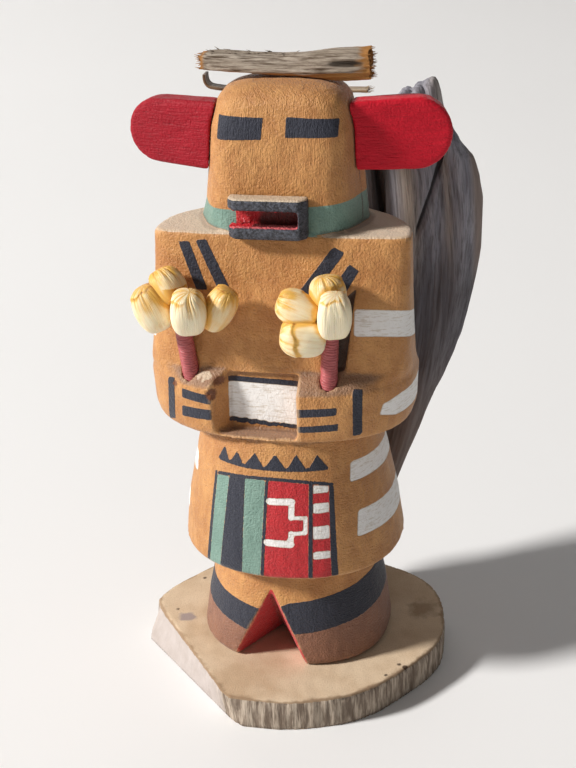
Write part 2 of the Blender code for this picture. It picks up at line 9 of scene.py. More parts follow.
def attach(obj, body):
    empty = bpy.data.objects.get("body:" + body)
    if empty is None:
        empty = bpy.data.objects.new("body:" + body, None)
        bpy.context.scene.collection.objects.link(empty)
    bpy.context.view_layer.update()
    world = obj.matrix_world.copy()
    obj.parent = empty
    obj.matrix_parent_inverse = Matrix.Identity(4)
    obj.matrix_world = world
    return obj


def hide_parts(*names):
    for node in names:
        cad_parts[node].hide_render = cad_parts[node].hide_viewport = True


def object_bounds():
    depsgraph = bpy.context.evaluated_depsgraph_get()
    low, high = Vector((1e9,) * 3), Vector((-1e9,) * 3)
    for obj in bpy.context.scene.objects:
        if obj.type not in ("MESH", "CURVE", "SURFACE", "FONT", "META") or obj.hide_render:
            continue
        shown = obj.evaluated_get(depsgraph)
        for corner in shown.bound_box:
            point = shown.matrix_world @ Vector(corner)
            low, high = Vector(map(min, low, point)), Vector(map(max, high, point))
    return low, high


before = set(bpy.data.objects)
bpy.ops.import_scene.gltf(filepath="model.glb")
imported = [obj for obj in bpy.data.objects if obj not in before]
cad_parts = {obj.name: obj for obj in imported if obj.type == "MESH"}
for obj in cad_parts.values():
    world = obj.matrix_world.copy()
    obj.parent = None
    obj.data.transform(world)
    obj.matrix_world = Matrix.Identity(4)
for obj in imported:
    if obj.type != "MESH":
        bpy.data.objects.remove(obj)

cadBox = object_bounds()
mm = 0.001

# Helpers for meshes.


def copyOfNode(node):
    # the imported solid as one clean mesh, its loose triangles merged
    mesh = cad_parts[node].data.copy()
    shape = bmesh.new()
    shape.from_mesh(mesh)
    bmesh.ops.remove_doubles(shape, verts=shape.verts, dist=0.000002)
    bmesh.ops.dissolve_degenerate(shape, edges=shape.edges, dist=0.000002)
    bmesh.ops.recalc_face_normals(shape, faces=shape.faces)
    shape.to_mesh(mesh)
    shape.free()
    mesh.materials.clear()
    return mesh


def plainMesh(holder, name):
    # the holder's result with its modifiers applied; the holder goes away
    graph = bpy.context.evaluated_depsgraph_get()
    mesh = bpy.data.meshes.new_from_object(holder.evaluated_get(graph), depsgraph=graph)
    mesh.name = name
    bpy.data.objects.remove(holder)
    return mesh


def addPiece(name, mesh, material=None):
    piece = bpy.data.objects.new(name, mesh)
    bpy.context.scene.collection.objects.link(piece)
    if material:
        mesh.materials.clear()
        mesh.materials.append(material)
    mesh.shade_smooth()
    return piece


def remeshed(mesh, name, voxel):
    holder = addPiece(name, mesh)
    remesh = holder.modifiers.new("even mesh", "REMESH")
    remesh.mode = "VOXEL"
    remesh.voxel_size = voxel * mm
    return plainMesh(holder, name)


def places(mesh):
    # vertex places in millimetres
    values = np.empty(len(mesh.vertices) * 3)
    mesh.vertices.foreach_get("co", values)
    return values.reshape(-1, 3) / mm


def setPlaces(mesh, values):
    mesh.vertices.foreach_set("co", (values * mm).ravel())
    mesh.update()


def normalsOf(mesh):
    values = np.empty(len(mesh.vertices) * 3)
    mesh.vertex_normals.foreach_get("vector", values)
    return values.reshape(-1, 3)


def edgesOf(mesh):
    values = np.empty(len(mesh.edges) * 2, dtype=np.int64)
    mesh.edges.foreach_get("vertices", values)
    return values.reshape(-1, 2)


def averaged(values, edges):
    # each vertex's neighbours averaged, for one column or several
    total = len(values)
    count = np.bincount(edges.ravel(), minlength=total)
    columns = values.reshape(total, -1)
    out = np.empty_like(columns)
    for column in range(columns.shape[1]):
        data = columns[:, column]
        near = np.bincount(edges[:, 0], weights=data[edges[:, 1]], minlength=total)
        near += np.bincount(edges[:, 1], weights=data[edges[:, 0]], minlength=total)
        out[:, column] = near / np.maximum(count, 1)
    return out.reshape(values.shape)


def smoothMesh(mesh, rounds, keepSize=True):
    # rounds off the voxel steps; the second, negative pass keeps the volume
    co, edges = places(mesh), edgesOf(mesh)
    for _ in range(rounds):
        co = co + 0.5 * (averaged(co, edges) - co)
        if keepSize:
            co = co - 0.52 * (averaged(co, edges) - co)
    setPlaces(mesh, co)


def noiseAt(co, sizes, seed=0.0):
    # soft noise from -1 to 1 whose bumps have the given sizes in millimetres
    scaled = co / np.asarray(sizes, dtype=float) + seed
    return np.array([noise.noise(Vector(place)) for place in scaled])


def pushOut(mesh, amount):
    # moves each vertex along its normal by a number of millimetres
    setPlaces(mesh, places(mesh) + normalsOf(mesh) * amount[:, None])


def keepInside(mesh):
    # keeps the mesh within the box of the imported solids
    low, high = (np.array(corner) / mm for corner in cadBox)
    setPlaces(mesh, np.clip(places(mesh), low, high))


def setNumbers(mesh, name, values):
    layer = mesh.attributes.new(name, "FLOAT", "POINT")
    layer.data.foreach_set("value", np.asarray(values, dtype=np.float32))


def setVectors(mesh, name, values):
    layer = mesh.attributes.new(name, "FLOAT_VECTOR", "POINT")
    layer.data.foreach_set("vector", np.asarray(values, dtype=np.float32).ravel())


def ridgeOf(mesh, rounds=6):
    # above 0 on outer corners, below 0 in hollows
    co, edges = places(mesh), edgesOf(mesh)
    soft = co.copy()
    for _ in range(rounds):
        soft = averaged(soft, edges)
    return ((co - soft) * normalsOf(mesh)).sum(axis=1)


def meshOf(shape, name):
    # the drawn faces as a mesh, turned outwards
    bmesh.ops.recalc_face_normals(shape, faces=shape.faces)
    mesh = bpy.data.meshes.new(name)
    shape.to_mesh(mesh)
    shape.free()
    return mesh


def gridMesh(name, rows):
    # a skin through rows of points, with the first and last row fanned shut
    shape = bmesh.new()
    made = [[shape.verts.new(Vector(point) * mm) for point in row] for row in rows]
    for low, high in zip(made, made[1:]):
        for step in range(len(low)):
            after = (step + 1) % len(low)
            shape.faces.new((low[step], low[after], high[after], high[step]))
    for row in (made[0], made[-1]):
        middle = shape.verts.new(sum((v.co for v in row), Vector()) / len(row))
        for step in range(len(row)):
            shape.faces.new((row[step], row[(step + 1) % len(row)], middle))
    return meshOf(shape, name)


# Helpers for flat shapes: distances in millimetres, above 0 inside.

far = 9.0  # the distance of a place that is plainly inside or plainly outside


def offLine(points, start, end):
    # how far points lie from a straight stroke
    side = end - start
    share = np.clip(((points - start) @ side) / (side @ side), 0, 1)
    away = points - start - share[:, None] * side
    return np.hypot(away[:, 0], away[:, 1])


def insideOf(points, corners):
    # signed distance to a many-sided outline
    corners = np.asarray(corners, dtype=float)
    best = np.full(len(points), 1e9)
    inside = np.zeros(len(points), dtype=bool)
    for start, end in zip(corners, np.roll(corners, -1, axis=0)):
        best = np.minimum(best, offLine(points, start, end))
        crosses = (start[1] > points[:, 1]) != (end[1] > points[:, 1])
        slope = (end[0] - start[0]) / ((end[1] - start[1]) or 1e-9)
        inside ^= crosses & (points[:, 0] < start[0] + slope * (points[:, 1] - start[1]))
    return np.where(inside, best, -best)


def alongLine(points, start, end, width):
    start, end = np.asarray(start, dtype=float), np.asarray(end, dtype=float)
    return width / 2 - offLine(points, start, end)


def between(values, low, high):
    return np.minimum(values - low, high - values)


def within(*distances):
    # inside every one of the shapes
    return np.minimum.reduce(distances)


def onlyWhere(test):
    return np.where(test, far, -far)


# Helpers for materials.


def newMaterial(name):
    material = bpy.data.materials.new(name)
    material.use_nodes = True
    tree = material.node_tree
    return material, tree, tree.nodes["Principled BSDF"]


def wire(tree, kind, values=(), out=0, **settings):
    # adds a node, sets or links its inputs, and gives back one of its outputs
    made = tree.nodes.new(kind)
    for key, value in settings.items():
        setattr(made, key, value)
    for key, value in dict(values).items():
        if isinstance(value, bpy.types.NodeSocket):
            tree.links.new(value, made.inputs[key])
        else:
            made.inputs[key].default_value = value
    return made.outputs[out]


def objectPlace(tree):
    return wire(tree, "ShaderNodeTexCoord", out="Object")


def grain(tree, place, sizes, detail=3.0, roughness=0.55, unit=mm):
    # noise whose bumps have the given sizes, in millimetres of the object or in another unit
    scales = [1 / (size * unit) for size in sizes]
    scaled = wire(tree, "ShaderNodeMapping", {"Vector": place, "Scale": scales})
    values = {"Vector": scaled, "Scale": 1.0, "Detail": detail, "Roughness": roughness}
    return wire(tree, "ShaderNodeTexNoise", values)


def storedPlace(tree, name):
    return wire(tree, "ShaderNodeAttribute", out="Vector", attribute_name=name)


def number(tree, name):
    return wire(tree, "ShaderNodeAttribute", out="Fac", attribute_name=name)


def sums(tree, operation, first, second=0.0, third=0.0):
    made = tree.nodes.new("ShaderNodeMath")
    made.operation = operation
    for place, value in enumerate((first, second, third)):
        if isinstance(value, bpy.types.NodeSocket):
            tree.links.new(value, made.inputs[place])
        else:
            made.inputs[place].default_value = value
    return made.outputs[0]


def times(tree, first, second):
    return sums(tree, "MULTIPLY", first, second)


def total(tree, *parts):
    # the sum of several values, each times its weight
    out = 0.0
    for value, weight in parts:
        out = sums(tree, "MULTIPLY_ADD", value, weight, out)
    return out


def ranged(tree, value, low, high, toLow=0.0, toHigh=1.0):
    values = {"Value": value, "From Min": low, "From Max": high, "To Min": toLow, "To Max": toHigh}
    return wire(tree, "ShaderNodeMapRange", values, interpolation_type="SMOOTHSTEP")


def blendOf(tree, share, first, second):
    made = tree.nodes.new("ShaderNodeMix")
    made.data_type = "RGBA"
    for place, value in ((0, share), (6, first), (7, second)):
        if isinstance(value, bpy.types.NodeSocket):
            tree.links.new(value, made.inputs[place])
        elif place == 0:
            made.inputs[place].default_value = value
        else:
            made.inputs[place].default_value = (*value, 1.0)
    return made.outputs[2]


def shades(tree, share, dark, light):
    # from a dark to a light tone, both as they look on a screen
    return blendOf(tree, share, linear(*dark), linear(*light))


def layered(tree, colour, layers):
    # lays tones over a colour, each as far as its share says
    for share, tone in layers:
        if not isinstance(tone, bpy.types.NodeSocket):
            tone = linear(*tone)
        colour = blendOf(tree, share, colour, tone)
    return colour


def bumped(tree, shader, height, distance, strength=1.0):
    values = {"Height": height, "Distance": distance * mm, "Strength": strength}
    tree.links.new(wire(tree, "ShaderNodeBump", values), shader.inputs["Normal"])


def link(tree, value, shader, name):
    tree.links.new(value, shader.inputs[name])


def linear(red, green, blue):
    # a colour as it is seen on a screen, 0 to 255, as the light that Blender reckons with
    shares = [value / 255 for value in (red, green, blue)]
    return tuple(s / 12.92 if s <= 0.04045 else ((s + 0.055) / 1.055) ** 2.4 for s in shares)


# Camera, lights and floor.

view = {
    "pitch": 25.5,  # degrees down
    "turn": 11.0,  # degrees towards the doll's left hand
    "roll": -1.7,
    "distance": 411.0,  # millimetres from the doll's middle line, over the floor
    "aside": -1.6,
    "height": 305.0,
    "lensPixels": 1300.0,  # focal length in pixels, for a picture of the height below
    "pictureHigh": 768.0,
}


def makeCamera():
    turn, pitch, roll = (radians(view[key]) for key in ("turn", "pitch", "roll"))
    ahead = Vector((-sin(turn), cos(turn), 0))
    right = Vector((cos(turn), sin(turn), 0))
    looking = ahead * cos(pitch) - Vector((0, 0, sin(pitch)))
    upward = ahead * sin(pitch) + Vector((0, 0, cos(pitch)))
    aside, up = right * view["aside"], Vector((0, 0, view["height"]))
    place = (-ahead * view["distance"] + aside + up) * mm
    across = right * cos(roll) + upward * sin(roll)
    above = upward * cos(roll) - right * sin(roll)
    data = bpy.data.cameras.new("camera")
    data.sensor_fit, data.sensor_height = "VERTICAL", 36.0
    data.lens = view["lensPixels"] / view["pictureHigh"] * data.sensor_height
    data.clip_start = 0.01
    camera = bpy.data.objects.new("camera", data)
    facing = Matrix((across, above, -looking)).transposed().to_4x4()
    camera.matrix_world = Matrix.Translation(place) @ facing
    bpy.context.scene.collection.objects.link(camera)
    bpy.context.scene.camera = camera


lamps = {
    "keyFrom": 66.0,  # degrees from the doll's front towards its right hand
    "keyUp": 33.0,
    "keyAway": 5.0,  # metres
    "keySize": 0.75,
    "keyPower": 360.0,
    "fillFrom": -10.0,
    "fillUp": 40.0,
    "fillAway": 1.8,
    "fillSize": 1.6,
    "fillPower": 1.0,
    "room": 0.13,  # light from all round
    "aim": (0.0, 0.0, 0.12),
}


# The floor and the wall that it bends up into, in metres.
floorSizes = {
    "across": 3.0,
    "near": -2.5,
    "behind": 3.0,
    "high": 3.0,
    "bend": 0.8,
    "steps": 12,
    "tones": ((0.85, 0.845, 0.845), (0.88, 0.875, 0.875)),
}


def makeLamp(name):
    turn, rise = radians(lamps[name + "From"]), radians(lamps[name + "Up"])
    out = Vector((-sin(turn) * cos(rise), -cos(turn) * cos(rise), sin(rise)))
    data = bpy.data.lights.new(name, "AREA")
    data.shape = "DISK"
    data.size = lamps[name + "Size"]
    data.energy = lamps[name + "Power"]
    lamp = bpy.data.objects.new(name + " light", data)
    lamp.location = Vector(lamps["aim"]) + out * lamps[name + "Away"]
    lamp.rotation_euler = out.to_track_quat("Z", "Y").to_euler()
    bpy.context.scene.collection.objects.link(lamp)
    return data


def makeStage():
    world = bpy.data.worlds.new("room")
    world.use_nodes = True
    back = world.node_tree.nodes["Background"]
    back.inputs["Color"].default_value = (1.0, 0.99, 0.98, 1.0)
    back.inputs["Strength"].default_value = lamps["room"]
    bpy.context.scene.world = world
    makeLamp("key").color = (1.0, 0.98, 0.95)
    makeLamp("fill")
    material, tree, shader = newMaterial("pale floor")
    place = objectPlace(tree)
    tone = grain(tree, place, (400, 400, 400), 1.0)
    link(tree, blendOf(tree, tone, *floorSizes["tones"]), shader, "Base Color")
    shader.inputs["Roughness"].default_value = 0.7
    shape = bmesh.new()
    across, bend, steps = (floorSizes[key] for key in ("across", "bend", "steps"))
    start = floorSizes["behind"] - bend
    path = [(floorSizes["near"], 0.0), (start, 0.0)]
    for step in range(1, steps + 1):
        angle = pi / 2 * step / steps
        path.append((start + bend * sin(angle), bend - bend * cos(angle)))
    path.append((floorSizes["behind"], floorSizes["high"]))
    rows = [[shape.verts.new((side * across, y, z)) for side in (-1, 1)] for y, z in path]
    for first, second in zip(rows, rows[1:]):
        shape.faces.new((first[0], first[1], second[1], second[0]))
    mesh = bpy.data.meshes.new("floor")
    shape.to_mesh(mesh)
    shape.free()
    addPiece("floor", mesh, material)


makeCamera()
makeStage()
bpy.context.scene.view_settings.view_transform = "Standard"
print("camera, lights and floor are in place")

# The carved and painted figure.

# The dark and the light tone of each paint and wood, as they look on a screen.
paint = {
    "ochre": ((178, 119, 62), (203, 146, 84)),
    "worn": ((112, 80, 62), (160, 126, 100)),
    "bare": ((186, 160, 132), (222, 202, 178)),
    "brown": ((118, 76, 58), (156, 108, 82)),
    "teal": ((100, 132, 120), (130, 160, 146)),
    "red": ((162, 12, 22), (208, 28, 38)),
    # dark red deep in the mouth: partly dark paint, partly painted shade
    "mouth": ((54, 16, 12), (128, 40, 32)),
    "navy": ((34, 36, 46), (62, 64, 76)),
    "white": ((216, 207, 196), (240, 237, 234)),
    # near black: a crack on the head, and painted shadow in the cut by the left arm
    "crackAndShadow": ((44, 29, 18), (78, 52, 32)),
}

carving = {
    "foot": 12.3,  # height of the soles
    "voxel": 0.84,
    "smooth": 5,
    "knifeMark": 0.13,  # depth of the flats that the knife left
    "brushMark": 0.05,
    "shoulder": 169.9,  # height of the shoulders, and of the neck's foot
    # edges that slope: their height, their slope and where across they have that height
    "neckTop": (178.4, 0.07, 0.0),
    "beltTop": (120.2, -0.035, -16.6),
    "beltFoot": (107.2, -0.07, -16.6),
    "leftBandTop": (36.7, 0.18, -1.4),
    "leftBandFoot": (25.0, 0.17, 3.6),
    "rightBandTop": (34.0, -0.16, -10.0),
    "rightBandFoot": (24.7, -0.2, -14.7),
    "mouthLeft": -13.6,
    "mouthRight": 8.0,
    "mouthFoot": 172.5,
    "mouthTop": 180.0,
    "clottedTo": -7.6,
    "beltLeft": -16.9,
    "beltRight": 7.0,
    "bootTop": 48.0,
    "notchMiddle": -4.2,
    "notchLeft": -19.6,
    "notchRight": 8.4,
    "notchFront": -31.5,
    "notchBack": -8.0,
    "notchTop": 32.5,
    # outline of the cut between the body and the left arm, across and up, painted near black there
    # as painted shadow
    "armCut": [
        (25.2, 153.0), (24.4, 148.0), (23.3, 137.5), (21.9, 126.3),
        (18.6, 125.2), (16.8, 132.0), (18.6, 143.0), (21.8, 150.0),
    ],
    "armCutDepth": 1.3,
    # middle and reach of each place where the wood has broken out
    "chips": [
        ((-20.0, -24.5, 121.6), (2.2, 5.0, 1.8)),
        ((-21.5, -29.5, 117.6), (2.2, 2.0, 2.2)),
        ((-35.0, -24.0, 119.0), (1.2, 2.0, 1.2)),
        ((7.6, -24.0, 121.0), (1.3, 3.0, 1.3)),
    ],
}

# Painted shapes on the front, across and up, in millimetres.
navyShapes = [
    [(-18.3, 207.3), (-3.8, 207.1), (-4.6, 200.3), (-19.1, 199.7)],  # eyes
    [(3.4, 207.5), (19.6, 206.7), (19.2, 201.2), (3.0, 201.1)],
    [(-33.0, 166.6), (-29.3, 166.8), (-23.3, 151.1), (-27.3, 151.0)],  # chest stripes
    [(-27.3, 167.4), (-23.6, 167.6), (-15.7, 151.5), (-20.0, 151.6)],
    [(17.7, 166.6), (21.5, 164.8), (10.6, 149.5), (6.6, 151.6)],
    [(22.9, 161.3), (26.1, 159.2), (20.6, 149.6), (17.2, 152.4)],
    [(-38.0, 120.4), (-35.3, 121.0), (-36.3, 105.2), (-39.2, 103.6)],  # marks on the forearms
    [(-32.5, 118.2), (-22.0, 117.4), (-22.0, 114.1), (-32.7, 114.7)],
    [(-33.0, 111.6), (-22.0, 112.3), (-22.0, 108.5), (-33.3, 107.6)],
    [(7.0, 114.9), (20.1, 115.5), (19.8, 112.6), (7.2, 112.0)],
    [(7.0, 108.7), (20.4, 109.6), (20.3, 107.0), (7.2, 106.5)],
    [(25.0, 121.4), (28.2, 121.1), (27.9, 104.7), (25.0, 104.4)],
]
# Triangles over the sash: the peak's place across and up, the foot's left and right end and
# its height.
peaks = [
    (-19.1, 96.8, -22.0, -17.2, 91.3),
    (-14.3, 96.5, -17.1, -12.0, 91.7),
    (-7.9, 96.9, -11.8, -4.8, 92.0),
    (-0.9, 97.3, -4.5, 2.7, 92.0),
    (6.1, 97.4, 2.9, 9.7, 91.6),
    (12.9, 96.8, 10.0, 16.8, 91.5),
]
# The sash's edges from left to right, across at its top and at its foot, and what fills the
# strip that begins there.
sashEdges = [
    (-22.9, -26.6, "navy"),
    (-21.9, -25.5, "teal"),
    (-17.2, -21.1, "navy"),
    (-11.5, -12.9, "teal"),
    (-4.3, -6.1, "navy"),
    (-3.2, -4.9, "red"),
    (10.4, 10.4, "navy"),
    (11.7, 11.9, "ladder"),
    (16.8, 18.0, "navy"),
    (18.2, 20.2, None),
]
sash = {"waist": 95, "top": 88.4, "foot": 55.5, "hem": 50.5, "bow": 0.0055, "border": 1.2}
# The line that the triangles stand on, up and across.
peakLine = {"up": (91.0, 92.5), "across": (-21.6, 16.6)}
ladderWhites = [(86.8, 83.3), (79.8, 76.2), (71.6, 66.9), (62.4, 59.5)]
steppedLine = [
    ((-2.9, 80.3), (4.7, 80.5), 2.5),
    ((4.7, 80.5), (4.6, 74.9), 2.1),
    ((4.6, 74.8), (9.4, 74.8), 1.4),
    ((9.4, 74.8), (9.4, 69.4), 1.5),
    ((9.4, 69.4), (4.6, 69.1), 1.5),
    ((4.6, 69.2), (4.4, 65.3), 2.0),
    ((4.4, 65.2), (-3.7, 65.4), 2.7),
]
# Stripes that run round the sides: where they begin across and end along Y, foot, top, and how
# much a millimetre of depth lowers them.
leftHandStripes = [
    (24.7, 10.0, 137.7, 146.9, 0.33),
    (23.4, 8.0, 84.9, 91.9, 0.03),
    (26.2, 9.0, 65.0, 74.4, 0.03),
]
rightHandStripes = [
    (42.6, 14.0, 133.0, 142.0, 0.10),
    (31.6, 9.0, 81.0, 87.2, 0.03),
    (36.0, 9.0, 64.4, 71.4, 0.03),
]
brushEnd = 0.9  # radius of the stripes' corners
# The stripe round the left elbow, along Y and up.
elbowStripe = [
    (-23.4, 110.6), (-23.0, 114.6), (-18.0, 116.6), (-7.7, 117.8),
    (6.0, 117.8), (6.0, 109.0), (-9.0, 108.8), (-19.0, 108.9),
]


def notchDistance(co):
    # how far a place lies outside the gap between the feet
    foot = carving["foot"]
    back = np.array((carving["notchMiddle"], carving["notchBack"], foot))
    apex = np.array((carving["notchMiddle"], carving["notchFront"], foot + carving["notchTop"]))
    out = None
    for side, edge in ((-1, "notchLeft"), (1, "notchRight")):
        toe = np.array((carving[edge], carving["notchFront"], foot))
        normal = np.cross(apex - back, toe - back) * side
        normal /= np.linalg.norm(normal)
        if normal[0] * side < 0:
            normal = -normal
        away = (co - back) @ normal
        out = away if out is None else np.maximum(out, away)
    return out


def armCutDistance(co):
    return within(insideOf(co[:, (0, 2)], carving["armCut"]), onlyWhere(co[:, 1] < -15.0))


def mouthDistance(co, right):
    across = between(co[:, 0], carving["mouthLeft"], right)
    return within(across, between(co[:, 2], carving["mouthFoot"], carving["mouthTop"]))


def paintFigure(mesh):
    # how far each place lies inside each colour, in millimetres
    co, normal = places(mesh), normalsOf(mesh)
    x, y, z = co.T
    flat = co[:, (0, 2)]
    front = onlyWhere(y < 2.0)
    colours = ("navy", "red", "teal", "white", "brown", "bare", "worn", "crackAndShadow")
    masks = {colour: np.full(len(co), -far) for colour in colours}

    def lay(colour, *distances):
        masks[colour] = np.maximum(masks[colour], within(*distances))

    def clear(colour, distance):
        masks[colour] = np.minimum(masks[colour], -distance)

    def edgeAt(name):
        height, slope, across = carving[name]
        return height + slope * (x - across)

    for outline in navyShapes:
        lay("navy", insideOf(flat, outline), front)
    for middle, top, left, right, foot in peaks:
        lay("navy", insideOf(flat, [(left, foot), (middle, top), (right, foot)]), front)
    underPeaks = within(between(z, *peakLine["up"]), between(x, *peakLine["across"]), front)
    lay("navy", underPeaks - 0.1)

    onKilt = within(front, between(z, sash["hem"], sash["waist"]), (normal[:, 2] + 0.55) * 6)
    share = (sash["top"] - z) / (sash["top"] - sash["foot"])
    topEdge = sash["top"] + 0.5 - sash["bow"] * (x + 3) ** 2
    under = within(topEdge - z, onKilt)
    edges = [high + (low - high) * share for high, low, _ in sashEdges]
    for left, right, (_, _, fill) in zip(edges, edges[1:], sashEdges):
        strip = within(between(x, left, right), under)
        body = within(strip, topEdge - sash["border"] - z)
        lay("navy", strip, z - topEdge + sash["border"])
        if fill == "ladder":
            lay("red", body)
            for top, foot in ladderWhites:
                lay("white", body - 0.1, between(z, foot, top))
        else:
            lay(fill, body)
    for start, end, width in steppedLine:
        lay("white", alongLine(flat, start, end, width), onKilt)

    for side, stripes in ((1, leftHandStripes), (-1, rightHandStripes)):
        for begin, back, foot, top, slope in stripes:
            level = between(z + slope * np.maximum(0, y + 21), foot, top)
            reach = side * x - begin
            # the ends are rounded off by the brush
            inset = np.maximum(0, brushEnd - reach), np.maximum(0, brushEnd - level)
            lay("white", level, reach, back - y, brushEnd - np.hypot(*inset))
    lay("white", insideOf(co[:, (1, 2)], elbowStripe), x - 30)

    # boots and the band above them
    leftLeg = np.clip((x - carving["notchMiddle"]) / 12 + 0.5, 0, 1)
    rightLeg = 1 - leftLeg
    bandTop = leftLeg * edgeAt("leftBandTop") + rightLeg * edgeAt("rightBandTop")
    bandFoot = leftLeg * edgeAt("leftBandFoot") + rightLeg * edgeAt("rightBandFoot")
    onBoots = z < carving["bootTop"]
    lay("navy", between(z, bandFoot, bandTop), onlyWhere(onBoots))
    lay("brown", bandFoot - z, onlyWhere(onBoots))
    gap = within(0.42 - notchDistance(co), onlyWhere((z < carving["bootTop"] - 1) & (y < -7)))
    lay("red", gap)
    clear("navy", np.where(onBoots, gap, -far))
    clear("brown", gap)

    # the neck's band, and red on the face behind the lips
    aboveShoulder = z - carving["shoulder"] + 0.5
    onNeck = within((0.55 - normal[:, 2]) * 5, aboveShoulder, onlyWhere(np.abs(x) < 30))
    lay("teal", edgeAt("neckTop") - z, onNeck)
    inMouth = mouthDistance(co, carving["mouthRight"])
    # deep in the mouth, right of its open left end, the red darkens: partly dark paint, partly
    # painted shade
    darker = np.clip((x + 6.6 + noiseAt(co, (1.2, 1.2, 1.2), 4.4)) / 1.2, 0, 1)
    setNumbers(mesh, "mouth", np.where(inMouth > -0.5, darker, 0.0))
    lay("red", inMouth, front)
    clear("teal", within(inMouth, front))

    # the belt's panel and its dark upper and lower lines
    beltWide = between(x, carving["beltLeft"] - 0.3, carving["beltRight"] + 0.3)
    recess = within(beltWide, (-normal[:, 1] - 0.5) * 6, y + 26.2)
    ragged = 0.5 * noiseAt(co, (1.3, 1.3, 1.3), 7.1)
    panelTop, panelFoot = edgeAt("beltTop"), edgeAt("beltFoot") + ragged
    lay("white", between(z, panelFoot, panelTop), recess)
    lay("navy", between(z, panelTop, panelTop + 1.9), recess, y + 26)
    lay("navy", between(z, panelFoot - 1.5 + 0.5 * ragged, panelFoot), recess)

    # bare wood where the knife went last: shoulders, tops of the hands, ledge of the recess
    facingUp = (normal[:, 2] - 0.62) * 4
    lay("bare", facingUp, between(z, 168.0, 171.5))
    lay("worn", facingUp, between(z, 101.5, 105.5), between(x, -22, 8), -24 - y)
    lay("worn", (normal[:, 2] - 0.35) * 5, between(z, 117.0, 126.5), -17.0 - y)
    onHand = 1.7 - np.hypot((x + 25.0) * 0.62, (y + 26.4) * 1.2)
    lay("bare", within(facingUp, onHand) + 0.8 * noiseAt(co, (1.2, 1.2, 3), 8.8))
    crackLine = 0.30 - np.abs(y + 3.2 + 0.4 * noiseAt(co, (4, 4, 6), 3.3))
    lay("crackAndShadow", crackLine, between(z, 171.5, 206.5), x - 15)
    # painted shadow: the cut by the left arm is painted near black
    lay("crackAndShadow", armCutDistance(co) + 0.15)
    for colour, distance in masks.items():
        setNumbers(mesh, colour, distance)


def carveFigure():
    mesh = remeshed(copyOfNode("figure"), "figureSkin", carving["voxel"])
    smoothMesh(mesh, carving["smooth"])
    co = places(mesh)
    flats = noiseAt(co, (7, 7, 10), 1.7) + 0.35 * noiseAt(co, (2.2, 2.2, 3.0), 9.4)
    amount = carving["knifeMark"] * flats
    # brushed grain on the kilt and the arms
    amount += carving["brushMark"] * noiseAt(co, (1.4, 1.4, 6.0), 4.2)
    # fibres broken out along the edges of the hands
    chip = np.zeros(len(co))
    for middle, reach in carving["chips"]:
        chip = np.maximum(chip, np.exp(-(((co - middle) / reach) ** 2).sum(axis=1)))
    amount += chip * (1.3 * noiseAt(co, (1.3, 1.3, 2.4), 2.2) - 0.40)
    # clotted paint at the left of the mouth, and the cut between the body and the left arm
    clotted = np.clip(mouthDistance(co, carving["clottedTo"]), 0, 1) * (co[:, 1] < -10)
    amount += clotted * (0.9 * noiseAt(co, (1.3, 1.3, 1.3), 6.1) + 0.3)
    amount -= carving["armCutDepth"] * np.clip(armCutDistance(co) / 1.2 + 0.4, 0, 1)
    pushOut(mesh, amount)
    setNumbers(mesh, "roughRed", clotted)
    paintFigure(mesh)
    setNumbers(mesh, "ridge", ridgeOf(mesh))
    setNumbers(mesh, "chip", chip)
    setNumbers(mesh, "face", np.clip((co[:, 2] - 171) / 3, 0, 1))
    setNumbers(mesh, "kilt", np.clip((104 - co[:, 2]) / 3, 0, 1))
    return mesh


